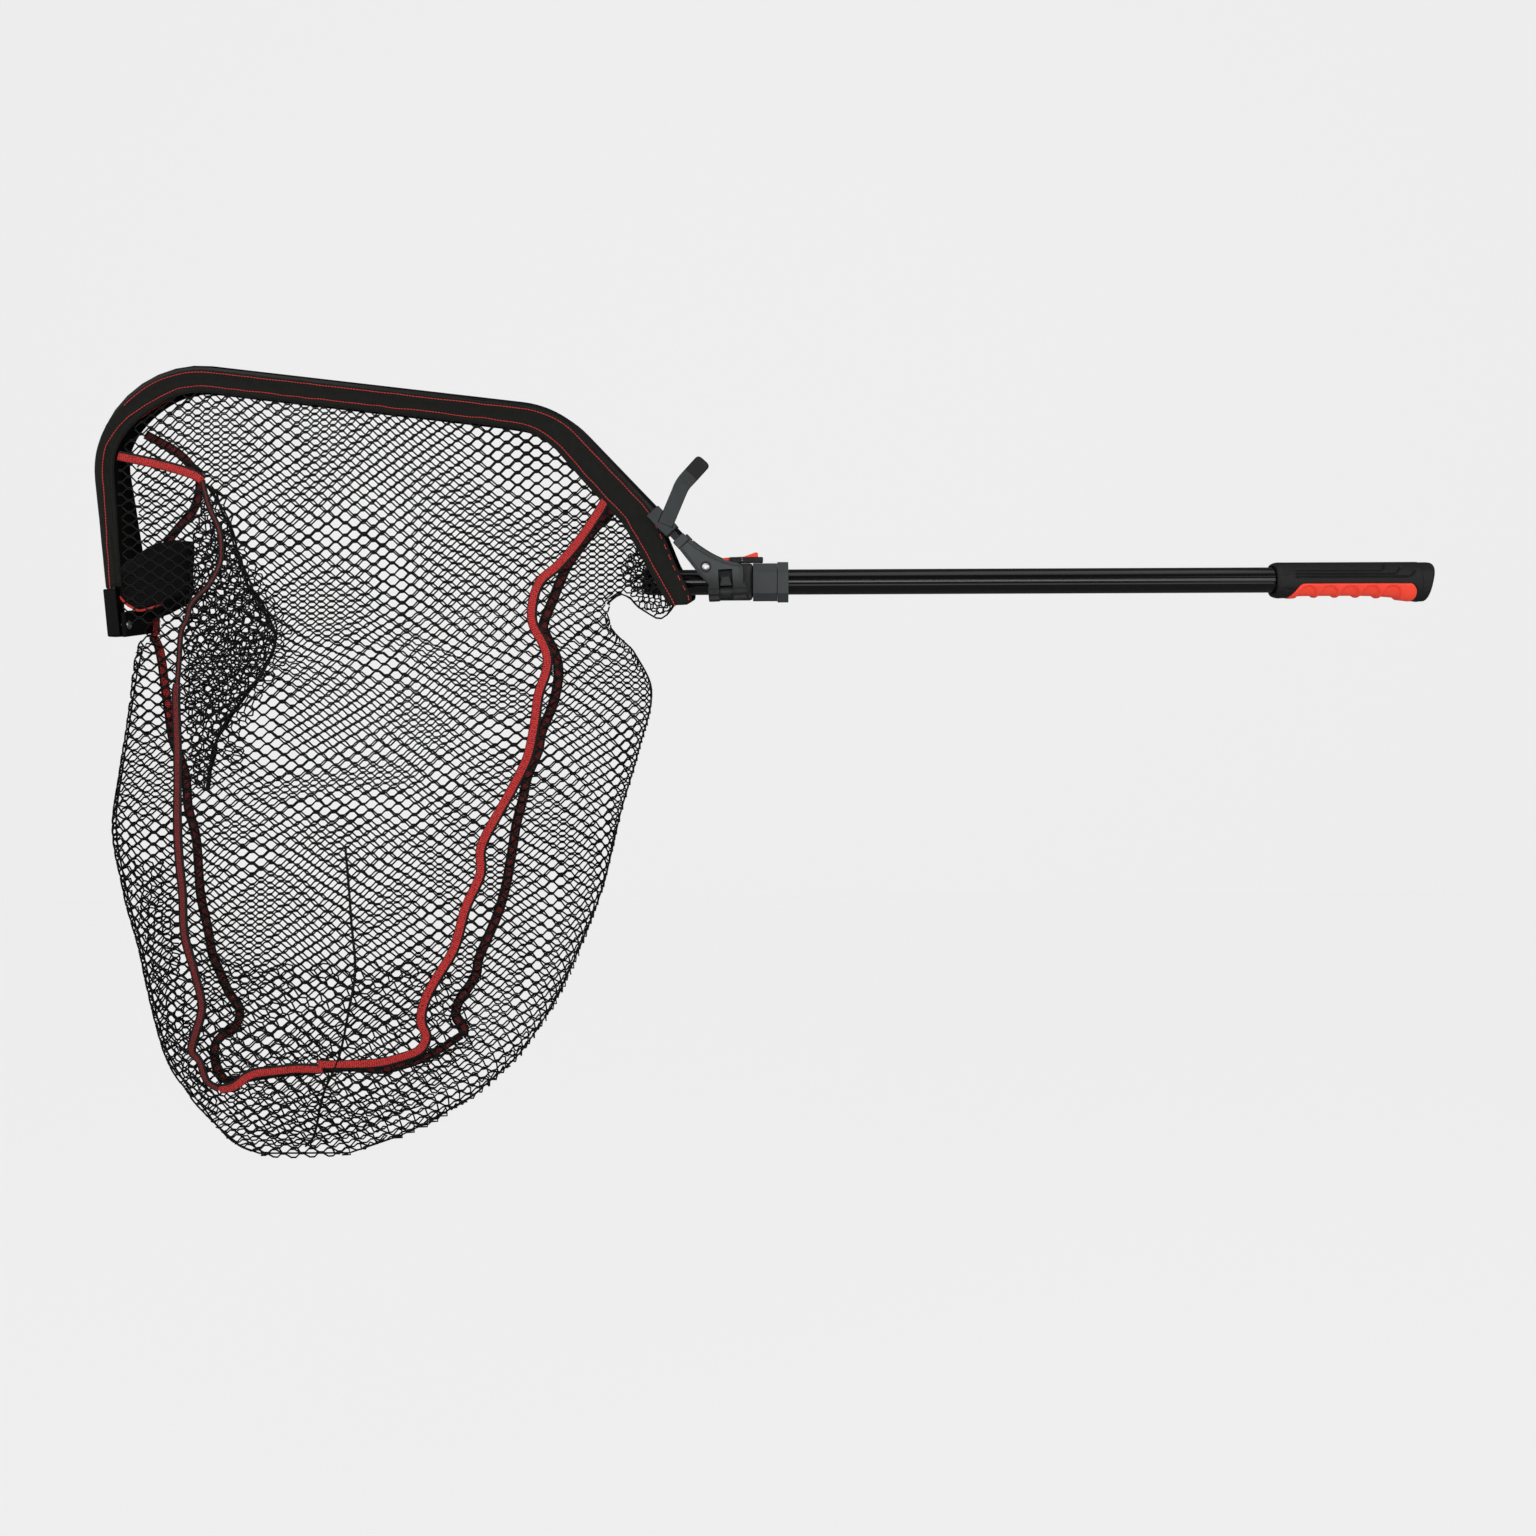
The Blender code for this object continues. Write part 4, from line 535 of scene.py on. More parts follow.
def settle(obj):
    """Replace the object's mesh by its evaluated one and drop its modifiers."""
    bpy.context.view_layer.update()
    depsgraph = bpy.context.evaluated_depsgraph_get()
    mesh = bpy.data.meshes.new_from_object(obj.evaluated_get(depsgraph))
    obj.modifiers.clear()
    obj.data = mesh


CLOTH_THREADS = 5200.0
CLOTH_WEAR = 160.0


def weave_group():
    """Plain weave on the UV map: threads over and under each other, with their own slow shade."""
    group, given, made = new_group("plain_weave", "ShaderNodeTree", {"Threads": 1600.0},
                                   {"Height": "Float", "Shade": "Float"})
    place = add_node(group, "ShaderNodeTexCoord").outputs["UV"]
    scaled = add_node(group, "ShaderNodeVectorMath", {0: place, "Scale": given["Threads"]}, operation="SCALE")
    parts = add_node(group, "ShaderNodeSeparateXYZ", {0: scaled.outputs["Vector"]}).outputs
    weave = reckon(group, "MULTIPLY", *(reckon(group, "SINE", parts[axis]) for axis in ("X", "Y")))
    cloud = add_node(group, "ShaderNodeTexNoise", {"Vector": place, "Scale": CLOTH_WEAR, "Detail": 4.0})
    feed(group, made, {"Height": ramp(group, weave, 0.0, 1.0, -1.0), "Shade": cloud.outputs["Fac"]})
    return group


WEAVE = weave_group()


def cloth_finish(name, dark, light, shine=0.25, sheen=0.05):
    """A woven cloth: worn patches drift between two tones, and the weave shows as relief."""
    mat, tree, shader = new_finish(name)
    effect = add_node(tree, "ShaderNodeGroup", {"Threads": CLOTH_THREADS}, node_tree=WEAVE).outputs
    feed(tree, shader, {
        "Roughness": 0.85, "Specular IOR Level": shine, "Sheen Weight": sheen, "Sheen Roughness": 0.5,
        "Base Color": two_tones(tree, effect["Shade"], dark, light),
        "Normal": relief(tree, effect["Height"], 0.6, 0.0002)})
    return mat


hem_cloth = cloth_finish("hem_cloth", linear(10, 10, 9), linear(25, 25, 22))
# The strip's inner faces, turned in between the two halves, take a near-black copy of the cloth: painted
# shade.
hem_shaded_face = cloth_finish("hem_shaded_face", linear(3, 3, 3), linear(7, 7, 6), 0.08, 0.0)


def end_tree(tree, shape, dye, made):
    """End a tree with a real, smooth shape in its finish."""
    real = add_node(tree, "GeometryNodeRealizeInstances", {"Geometry": shape}).outputs["Geometry"]
    smooth = add_node(tree, "GeometryNodeSetShadeSmooth", {"Geometry": real}).outputs["Geometry"]
    dyed = add_node(tree, "GeometryNodeSetMaterial", {"Geometry": smooth, "Material": dye})
    feed(tree, made, {"Geometry": dyed.outputs["Geometry"]})


def stitch_tree():
    """Stitches along a line: short rounded threads at an even pitch, turned along it."""
    tree, given, made = new_group("stitching", "GeometryNodeTree",
                                  {"Geometry": "Geometry", "Pitch": 0.003, "Length": 0.0024,
                                   "Radius": 0.00045, "Thread": "Material"}, {"Geometry": "Geometry"})
    line = add_node(tree, "GeometryNodeMeshToCurve", {"Mesh": given["Geometry"]}).outputs["Curve"]
    spaced = add_node(tree, "GeometryNodeResampleCurve", {"Curve": line, "Length": given["Pitch"]},
                      mode="LENGTH")
    ball = add_node(tree, "GeometryNodeMeshUVSphere", {"Segments": 6, "Rings": 5, "Radius": 1.0})
    half = reckon(tree, "MULTIPLY", given["Length"], 0.5)
    size = add_node(tree, "ShaderNodeCombineXYZ", {"X": given["Radius"], "Y": given["Radius"], "Z": half})
    tangent = add_node(tree, "GeometryNodeInputTangent").outputs["Tangent"]
    turn = add_node(tree, "FunctionNodeAlignRotationToVector", {"Vector": tangent}, axis="Z")
    sewn = add_node(tree, "GeometryNodeInstanceOnPoints", {
        "Points": spaced.outputs["Curve"], "Instance": ball.outputs["Mesh"],
        "Rotation": turn.outputs["Rotation"], "Scale": size.outputs["Vector"]})
    end_tree(tree, sewn.outputs["Instances"], given["Thread"], made)
    return tree


def grow(name, lines, slot, tree, **values):
    """A new piece that a tree with named inputs grows along polylines, kept as a plain mesh."""
    verts, edges = [], []
    for line in lines:
        base = len(verts)
        verts += [tuple(p) for p in line]
        edges += [(base + i, base + i + 1) for i in range(len(line) - 1)]
    mesh = bpy.data.meshes.new(name)
    mesh.from_pydata(verts, edges, [])
    obj = add_piece(name, mesh, None)
    modifier = obj.modifiers.new("nodes", "NODES")
    modifier.node_group = tree
    for item in tree.interface.items_tree:
        if item.in_out == "INPUT" and item.name in values:
            modifier[item.identifier] = values[item.name]
    settle(obj)
    return obj


STITCHING = stitch_tree()
red_thread = finish("red_thread", linear(168, 36, 32), linear(205, 56, 48), 0.7, 3000.0, 400.0, 0.3)

for side, name in SIDES.items():
    rows, outer_seams, inner_seams = [], [[]], {1: [], -1: []}
    distance = 0.0
    previous = None
    for i, (lip, inner, wraps, front) in enumerate(hem_stations(side)):
        distance += (lip - previous).length if previous else 0.0
        previous = lip
        width = (inner - lip).length
        across = (inner - lip).normalized()
        on_bar = (HEM_BAR - HEM_FRONT_LIP[side]) / width * front
        profile = hem_profile(wraps, min(HEM_ON_BAR[1], max(HEM_ON_BAR[0], on_bar)))
        row = []
        for face in (1, -1):
            points = []
            for share, stand in profile:
                ripple = hem_ripple(distance + side, share * face)
                place = lip + across * width * share
                points.append(half_point(side, place.x, place.y, face * (stand + ripple)))
            row += points if face > 0 else [half_point(side, inner.x, inner.y, 0.0)] + list(reversed(points))
        rows.append(row)
        wobble = SEAM_WOBBLE * crumple(distance * 60, side, 0.5)
        inset = SEAM_OUTER + wobble
        place = lip + across * inset
        bar_stand = read_off(profile, inset / width)[0] + HEM_CLOTH
        if front < 0.25 and (wraps > 0.95 or i % 4 < 2):
            outer_seams[-1].append(half_point(side, place.x, place.y, bar_stand))
        elif outer_seams[-1]:
            outer_seams.append([])
        front_inset = width - SEAM_OUTER - HEM_FRONT_SEAM * smooth_step(0.0, 0.16, lip.y)
        inset = min(SEAM_INNER, width * 0.42) * (1 - front) + front_inset * front + 2 * wobble
        place = inner - across * inset
        for face in (1, -1) if front < 0.6 else (1,):
            share = 1 - inset / width
            stand = read_off(profile, share)[0] + hem_ripple(distance + side, share * face) + HEM_CLOTH * 0.8
            inner_seams[face].append(half_point(side, place.x, place.y, face * stand))
    mesh, length, cut_width = strip_mesh(f"{name}_hem_cloth", rows, len(rows[0]) // 2)
    hem = add_piece(f"{name}_hem_cloth", mesh, hem_cloth)
    # The inner faces take the painted-shade copy of the cloth.
    mesh.materials.append(hem_shaded_face)
    thicken(hem, HEM_CLOTH)
    across_fold(hem)
    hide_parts(f"{name}_hem")
    seams = grow(f"{name}_hem_seams", outer_seams + list(inner_seams.values()), "tape_red", STITCHING,
                 Pitch=0.0031, Length=0.0029, Radius=0.00048, Thread=red_thread)
    across_fold(seams)

# Net: knotless black netting. Each strand runs across the net as a wave, and neighbours are twisted together
# where they touch, so the cells are six-sided with short double bars at top and bottom.
CELL_HALF_WIDE = 0.00925
CELL_HALF_TALL = 0.00605
BAR_LENGTH = 0.0046
STRAND_RADIUS = 0.00085
STRAND_HALF_COUNT = 36
STRAND_DRIFT = 0.005
STRAND_SWAY = 0.006
TWIST_OVERLAP = 0.85
NET_LAY = {-1: (0.0, 0.0), 1: (0.004, 0.012)}
PANEL_TOP = 0.235
BAG_FOOT = 0.560
PANEL_HALF = 0.030
POLE_CLEAR = 0.019
NET_FOLD = 0.0075
NET_CREASE = 0.0028
RIM_FROM = 0.03

# Bag's outline: depth below the fold axis, front edge and back edge along X, half thickness and squareness
BAG_OUTLINE = [
    (0.000, -1.200, -0.748, 0.0300, 9.0),
    (0.030, -1.213, -0.745, 0.0320, 5.0),
    (0.055, -1.219, -0.722, 0.0360, 3.4),
    (0.095, -1.225, -0.704, 0.0430, 2.6),
    (0.150, -1.233, -0.716, 0.0530, 2.4),
    (0.215, -1.240, -0.735, 0.0620, 2.3),
    (0.290, -1.228, -0.753, 0.0650, 2.3),
    (0.350, -1.213, -0.776, 0.0640, 2.3),
    (0.410, -1.201, -0.804, 0.0590, 2.3),
    (0.460, -1.187, -0.838, 0.0510, 2.2),
    (0.500, -1.163, -0.882, 0.0390, 2.2),
    (0.528, -1.143, -0.926, 0.0260, 2.2),
    (0.542, -1.131, -0.956, 0.0180, 2.1),
    (0.552, -1.118, -0.984, 0.0120, 2.0),
    (0.560, -1.098, -1.008, 0.0070, 2.0),
    (0.566, -1.082, -1.028, 0.0030, 2.0),
]


def bag_section(depth):
    """Front edge, back edge, half thickness and squareness of the bag at a depth."""
    depth = min(max(depth, 0.0), BAG_OUTLINE[-1][0])
    for k, (above, below) in enumerate(zip(BAG_OUTLINE, BAG_OUTLINE[1:])):
        if depth <= below[0]:
            t = (depth - above[0]) / (below[0] - above[0])
            before = BAG_OUTLINE[max(k - 1, 0)]
            after = BAG_OUTLINE[min(k + 2, len(BAG_OUTLINE) - 1)]
            return [curve_between(*four, t) for four in zip(before[1:], above[1:], below[1:], after[1:])]


def curve_between(a, b, c, d, t):
    """A smooth curve from b to c that heads the way its neighbours lie."""
    return b + 0.5 * t * (c - a + t * (2 * a - 5 * b + 4 * c - d + t * (3 * (b - c) + d - a)))


def net_height(x, depth):
    """Z of the net at a depth below the fold axis. The axis dips to the tip, and lower rows level out."""
    total = BAG_OUTLINE[-1][0]
    level = 1 - max(depth, 0.0) / total
    return PIVOT[-1].z + (x - PIVOT[-1].x) * ALONG.z / ALONG.x * level - depth


def ripple(side, x, depth):
    """Slack in the netting: long soft folds that run down the bag and fade at the hem."""
    slack = smooth_step(-0.20, 0.02, depth) * 0.6 + 0.4 * smooth_step(0.0, 0.15, depth)
    folds = crumple(x * 13, depth * 4.0, 5.0 * side)
    creases = crumple(x * 34 + depth * 9, depth * 9.0, 11.0 * side)
    return slack * (NET_FOLD * folds + NET_CREASE * creases)


def net_half_width(x, depth):
    """How far the net stands out from the middle plane."""
    if depth < 0:
        return PANEL_HALF + depth * math.sin(LEAN)
    front, back, half, square = bag_section(depth)
    share = min(1.0, abs(x - (front + back) / 2) / ((back - front) / 2))
    beside_pole = POLE_CLEAR * (1 - smooth_step(0.008, 0.03, depth))
    return max(half * (1 - share ** square) ** (1 / square), beside_pole)


def net_place(side, x, depth):
    """A point of one side's netting."""
    half = net_half_width(x, depth)
    calm = min(1.0, half / 0.02)
    return Vector((x, side * (half + ripple(side, x, depth) * calm), net_height(x, depth)))


def section_points(depth, steps=160):
    """x against distance along the netting from the middle, across one side of the bag."""
    front, back, _, _ = bag_section(depth)
    middle, reach = (front + back) / 2, (back - front) / 2
    table = [(0.0, middle)]
    run = 0.0
    last = (middle, net_half_width(middle, depth))
    for i in range(1, steps + 1):
        share = math.sin(math.pi / 2 * i / steps)
        here = (middle + reach * share, net_half_width(middle + reach * share, depth))
        run += math.hypot(here[0] - last[0], here[1] - last[1])
        last = here
        table.append((run, here[0]))
    return middle, table


def inside(polygon, x, y):
    """Whether a point lies in a polygon."""
    found = False
    for a, b in zip(polygon, polygon[1:] + polygon[:1]):
        if (a.y > y) != (b.y > y) and x < a.x + (b.x - a.x) * (y - a.y) / (b.y - a.y):
            found = not found
    return found


hem_middle = [lip.lerp(inner, 0.72) for lip, inner, *_ in hem_stations(-1)]
panel_outline = [Vector((hem_middle[0].x, -0.01))] + hem_middle + [Vector((hem_middle[-1].x, -0.01))]


def wave_corners(row, count, scale=1.0):
    """The corners of one strand's wave: how far along, how deep, and whether it is an upper corner."""
    for column in range(-count, count + 1):
        upper = (row + column) % 2 == 0
        depth = (row if upper else row + 1) * CELL_HALF_TALL
        for end in (-1, 1):
            yield (column * CELL_HALF_WIDE + end * BAR_LENGTH / 2) * scale, depth * scale, upper


def strand_waves(side, shift, turn):
    """One side's strands, as polylines. shift and turn lay the mesh a little differently on each side."""
    lines = []
    for row in range(math.floor(-PANEL_TOP / CELL_HALF_TALL), math.ceil(BAG_FOOT / CELL_HALF_TALL)):
        middle, table = section_points(max((row + 0.5) * CELL_HALF_TALL, 0.0))
        line = []
        for s, depth, upper in wave_corners(row, STRAND_HALF_COUNT):
            s += shift
            depth += (STRAND_RADIUS if upper else -STRAND_RADIUS) * TWIST_OVERLAP + turn * s
            drift = STRAND_DRIFT * crumple(s * 9, depth * 9, 2.0 * side)
            s += STRAND_SWAY * crumple(s * 7, depth * 6, 7.0 * side)
            depth += drift
            place = strand_point(side, s, depth, middle, table)
            rim = [net_place(side, bag_section(depth)[int(s > 0)], depth)] if depth > 0 else []
            if place is not None:
                line += [place] if line else rim + [place]
                continue
            if len(line) > 2:
                lines.append(line + rim)
            line = []
        if len(line) > 2:
            lines.append(line)
    return lines


def rim_line():
    """The strand that closes the bag's front and back edges, down one and up the other."""
    depths = [RIM_FROM + (BAG_FOOT - RIM_FROM) * i / 90 for i in range(91)]
    front = [net_place(-1, bag_section(depth)[0], depth) for depth in depths]
    back = [net_place(-1, bag_section(depth)[1], depth) for depth in depths]
    return front + back[::-1]


def strand_point(side, s, depth, middle, table):
    """A strand's point on the netting, or None outside it."""
    if depth < 0:
        x = middle + s
        u = (x - PIVOT[side].x) / ALONG.x
        return net_place(side, x, depth) if inside(panel_outline, u, -depth) else None
    if abs(s) > table[-1][0]:
        return None
    out = read_off(table, abs(s))[0] - middle
    return net_place(side, middle + out if s > 0 else middle - out, depth)


def twine_tree():
    """Twine along loose edges: a small round section swept down each strand."""
    tree, given, made = new_group("twine", "GeometryNodeTree",
                                  {"Geometry": "Geometry", "Radius": 0.0005, "Sides": 5, "Twine": "Material"},
                                  {"Geometry": "Geometry"})
    line = add_node(tree, "GeometryNodeMeshToCurve", {"Mesh": given["Geometry"]}).outputs["Curve"]
    section = add_node(tree, "GeometryNodeCurvePrimitiveCircle", {
        "Resolution": given["Sides"], "Radius": given["Radius"]})
    swept = add_node(tree, "GeometryNodeCurveToMesh", {
        "Curve": line, "Profile Curve": section.outputs["Curve"], "Fill Caps": True})
    end_tree(tree, swept.outputs["Mesh"], given["Twine"], made)
    return tree


TWINE = twine_tree()
black_twine = finish("black_twine", linear(4, 4, 4), linear(10, 10, 9), 0.6, 4000.0, 90.0, 0.3, shine=0.3)


def knit(name, lines):
    """Netting from its strands."""
    net = grow(name, lines, "net_mesh", TWINE, Radius=STRAND_RADIUS, Sides=5, Twine=black_twine)
    across_fold(net)
    return net


for side, name in SIDES.items():
    strands = strand_waves(side, *NET_LAY[side])
    net = knit(f"{name}_netting", strands + [rim_line()] * (side < 0))
    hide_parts(f"{name}_net", f"bag_{name}_panel")
    if side < 0:
        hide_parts("bag_front_panel", "bag_rear_panel", "bag_floor")


# Slack netting: gathers behind both panels at the tip, at the feet of the hems beside the pole, and down the
# front and foot of the bag, with strands bunched along two of their edges.
# Outlines are points (x, depth). A gather has its side, outline, cell scale, turn in degrees and inset.
TIP_GATHER = [(-1.158, -0.075), (-1.152, -0.105), (-1.140, -0.132), (-1.120, -0.096), (-1.106, -0.055),
              (-1.089, -0.017), (-1.070, 0.018), (-1.080, 0.053), (-1.100, 0.082), (-1.123, 0.121),
              (-1.130, 0.170), (-1.145, 0.170), (-1.161, 0.080), (-1.162, -0.002)]
FOOT_GATHER = [(-0.734, -0.037), (-0.712, -0.056), (-0.691, -0.020), (-0.681, 0.006), (-0.687, 0.018),
               (-0.700, 0.022), (-0.715, 0.012), (-0.727, -0.007)]
FOOT_FOLD = [(-0.746, 0.006), (-0.739, -0.001), (-0.731, -0.004), (-0.722, 0.002), (-0.712, 0.013),
             (-0.698, 0.0215), (-0.689, 0.021), (-0.681, 0.010)]
LEFT_GATHER = [(-1.212, 0.240), (-1.172, 0.240), (-1.156, 0.350), (-1.146, 0.440), (-1.128, 0.505),
               (-1.140, 0.520), (-1.163, 0.490), (-1.186, 0.420), (-1.203, 0.330)]
LOW_GATHER = [(-1.150, 0.330), (-1.060, 0.345), (-0.960, 0.340), (-0.900, 0.350), (-0.870, 0.430),
              (-0.930, 0.510), (-0.990, 0.540), (-1.060, 0.555), (-1.110, 0.535), (-1.145, 0.470)]
GATHERS = [
    ("near_left_gather", -1, LEFT_GATHER, 0.95, 64.0, 0.008),
    ("near_low_gather", -1, LOW_GATHER, 1.25, 16.0, 0.010),
    ("near_tip_gather", -1, TIP_GATHER, 0.80, 28.0, 0.005),
    ("near_tip_pleat", -1, TIP_GATHER, 0.72, -35.0, 0.009),
    ("far_tip_gather", 1, TIP_GATHER, 0.85, 62.0, 0.006),
    ("near_foot_gather", -1, FOOT_GATHER, 0.55, 48.0, 0.004),
    ("far_foot_gather", 1, FOOT_GATHER, 0.60, -40.0, 0.004),
]
GATHER_CRUMPLE = 0.006
GATHER_CREASE = 0.003
BUNCH_SPREAD = 0.004
BUNCH_INSET = 0.003
BUNCH_STEP = 0.0012


def gather_lines(side, outline, scale, angle, inset):
    """Strands of one slack layer inside an outline, turned and creased."""
    corners = [Vector(p) for p in outline]
    centre = sum(corners, Vector((0, 0))) / len(corners)
    reach = max((p - centre).length for p in corners) / scale
    c, s = math.cos(math.radians(angle)), math.sin(math.radians(angle))
    rows = math.ceil(reach / CELL_HALF_TALL)
    lines = []
    for row in range(-rows, rows + 1):
        line = []
        for a, b, _ in wave_corners(row, math.ceil(reach / CELL_HALF_WIDE) + 1, scale):
            x = centre.x + a * c - b * s + GATHER_CRUMPLE * crumple(a * 30, b * 30, angle)
            depth = centre.y + a * s + b * c + GATHER_CRUMPLE * crumple(a * 30, b * 30, angle + 9)
            if inside(corners, x, depth):
                stand = net_half_width(x, depth) - inset
                stand += GATHER_CREASE * crumple(x * 60, depth * 60, angle)
                line.append(Vector((x, side * stand, net_height(x, depth))))
                continue
            if len(line) > 2:
                lines.append(line)
            line = []
        if len(line) > 2:
            lines.append(line)
    return lines


def fold_strands(points, count):
    """Strands bunched along the edge of a slack layer."""
    lines = []
    for k in range(count):
        line = []
        for i, (x, depth) in enumerate(smooth_route(points, 0.006)):
            x += BUNCH_SPREAD * crumple(i * 0.25, k * 3.1, 0.0)
            depth += BUNCH_SPREAD * crumple(i * 0.25, k * 3.1, 6.0)
            stand = net_half_width(x, depth) - BUNCH_INSET - BUNCH_STEP * k
            line.append(Vector((x, -stand, net_height(x, depth))))
        lines.append(line)
    return lines


def smooth_route(points, step):
    """A smooth line through given points, at an even step."""
    fine = []
    last = len(points) - 1
    for k in range(last):
        four = [Vector(points[min(max(k + i, 0), last)]) for i in (-1, 0, 1, 2)]
        fine += [curve_between(*four, i / 8) for i in range(8)]
    return even_path(fine + [Vector(points[-1])], step)


slack = {-1: [], 1: []}
for name, side, outline, scale, angle, inset in GATHERS:
    slack[side].append(knit(name, gather_lines(side, outline, scale, angle, inset)))
slack[-1].append(knit("near_tip_fold", fold_strands(TIP_GATHER[2:11], 5)))
slack[-1].append(knit("near_foot_fold", fold_strands(FOOT_FOLD, 2)))

# Seam tapes: knitted red ribbon over each seam of the bag, from the hem down to the corners of its floor.
# Routes are points (x, depth) on one side's netting. The dark and dim runs are the same ribbon in a deeper
# red that paints their shade, with a narrower red band where the ribbon turns on edge.
TAPE_STAND = 0.0012
TAPE_CROWN = 0.0004
TAPE_THICK = 0.0007
TAPE_RIB = 0.0021
TAPES = [
    ("near_left_tape", -1, 0.0100, "bright", [
        (-1.228, -0.167), (-1.186, -0.156), (-1.154, -0.145), (-1.144, -0.138)]),
    ("near_left_fold", -1, 0.0056, "dim", [
        (-1.144, -0.138), (-1.139, -0.119), (-1.134, -0.106), (-1.125, -0.086), (-1.123, -0.058),
        (-1.132, -0.037), (-1.141, -0.027), (-1.151, -0.016), (-1.154, -0.003), (-1.160, 0.010),
        (-1.163, 0.046), (-1.165, 0.080)]),
    ("near_left_run", -1, 0.0095, "dark", [
        (-1.164, 0.064), (-1.165, 0.080), (-1.159, 0.152), (-1.154, 0.228), (-1.149, 0.272),
        (-1.147, 0.314), (-1.138, 0.351), (-1.132, 0.378), (-1.133, 0.396), (-1.143, 0.423),
        (-1.146, 0.436), (-1.138, 0.446), (-1.133, 0.467), (-1.121, 0.475)]),
    ("far_left_tape", 1, 0.0090, "dark", [
        (-1.216, -0.190), (-1.188, -0.173), (-1.172, -0.157), (-1.163, -0.140), (-1.170, -0.113),
        (-1.188, -0.093), (-1.199, -0.078), (-1.203, -0.048), (-1.2105, -0.004)]),
    ("far_left_turn", 1, 0.0085, "bright", [
        (-1.2105, -0.004), (-1.208, 0.017), (-1.204, 0.045), (-1.200, 0.081), (-1.198, 0.105)]),
    ("far_left_run", 1, 0.0090, "dark", [
        (-1.198, 0.105), (-1.196, 0.132), (-1.187, 0.165), (-1.186, 0.204),
        (-1.181, 0.233), (-1.178, 0.271), (-1.175, 0.304), (-1.168, 0.343), (-1.163, 0.370),
        (-1.149, 0.405), (-1.137, 0.424), (-1.138, 0.441), (-1.152, 0.452), (-1.156, 0.462),
        (-1.151, 0.482), (-1.143, 0.494)]),
    ("near_right_tape", -1, 0.0100, "bright", [
        (-0.744, -0.100), (-0.756, -0.080), (-0.774, -0.055), (-0.793, -0.034), (-0.809, -0.021),
        (-0.816, -0.003), (-0.817, 0.019), (-0.807, 0.040), (-0.802, 0.054), (-0.803, 0.069),
        (-0.810, 0.091), (-0.813, 0.117), (-0.818, 0.146), (-0.825, 0.164), (-0.839, 0.191),
        (-0.857, 0.223), (-0.863, 0.240), (-0.863, 0.262), (-0.877, 0.294), (-0.888, 0.333),
        (-0.908, 0.367), (-0.918, 0.389), (-0.920, 0.406), (-0.916, 0.419), (-0.923, 0.434),
        (-0.944, 0.442), (-0.965, 0.4455), (-1.005, 0.446), (-1.020, 0.446)]),
    ("far_right_tape", 1, 0.0105, "dark", [
        (-0.741, -0.092), (-0.764, -0.070), (-0.790, -0.038), (-0.800, -0.019), (-0.808, 0.000),
        (-0.818, 0.026), (-0.815, 0.038), (-0.806, 0.059), (-0.804, 0.080), (-0.810, 0.109),
        (-0.823, 0.140), (-0.827, 0.160), (-0.838, 0.185), (-0.844, 0.211), (-0.851, 0.238),
        (-0.855, 0.263), (-0.862, 0.303), (-0.872, 0.336), (-0.890, 0.378), (-0.893, 0.396),
        (-0.911, 0.424), (-0.913, 0.439), (-0.903, 0.450), (-0.906, 0.456)]),
    ("near_foot_tape", -1, 0.0100, "bright", [
        (-1.121, 0.475), (-1.105, 0.470), (-1.091, 0.459), (-1.076, 0.4535), (-1.040, 0.4515),
        (-1.016, 0.4505)]),
    ("far_foot_tape", 1, 0.0080, "dark", [
        (-1.143, 0.494), (-1.122, 0.495), (-1.081, 0.492), (-1.026, 0.488), (-0.991, 0.492),
        (-0.961, 0.485), (-0.934, 0.474), (-0.906, 0.456)]),
]


def net_frame(side, x, depth):
    """A point of the netting with its outward normal."""
    step = 0.003
    here = net_place(side, x, depth)
    right = net_place(side, x + step, depth) - net_place(side, x - step, depth)
    down = net_place(side, x, depth + step) - net_place(side, x, depth - step)
    normal = right.cross(down).normalized()
    return here, normal if normal.y * side > 0 else -normal


def tape_rows(side, points, width):
    """Rows across a ribbon that lies on the netting."""
    stations = [net_frame(side, *p) for p in smooth_route(points, 0.004)]
    middle = [here for here, _ in stations]
    rows = []
    for i, (here, normal) in enumerate(stations):
        across = heading(middle, i).cross(normal)
        rows.append([here + across * width * t + normal * (TAPE_STAND + TAPE_CROWN * (1 - 4 * t * t))
                     for t in (-0.5, -0.25, 0.0, 0.25, 0.5)])
    return rows


def tape_finish(name, low, high, width, red):
    """Knitted ribbon: red between two dark edges, ribbed across, with dark flecks in the knit."""
    mat, tree, shader = new_finish(name)
    place = add_node(tree, "ShaderNodeTexCoord").outputs["UV"]
    parts = add_node(tree, "ShaderNodeSeparateXYZ", {0: place}).outputs
    band = reckon(tree, "COMPARE", parts["Y"], width * (low + high) / 2, width * (high - low) / 2)
    ribs = reckon(tree, "SINE", reckon(tree, "MULTIPLY", parts["X"], 2 * math.pi / TAPE_RIB))
    fleck = add_node(tree, "ShaderNodeTexNoise", {"Vector": place, "Scale": 700.0}).outputs["Fac"]
    knitted = reckon(tree, "MULTIPLY", ramp(tree, ribs, 0.35, 1.0, -0.9, 0.3),
                     ramp(tree, fleck, 0.0, 1.0, 0.36, 0.46))
    feed(tree, shader, {
        "Roughness": 0.8,
        "Base Color": two_tones(tree, reckon(tree, "MULTIPLY", knitted, band), linear(16, 11, 11), red),
        "Normal": relief(tree, knitted, 0.6, 0.0004)})
    return mat
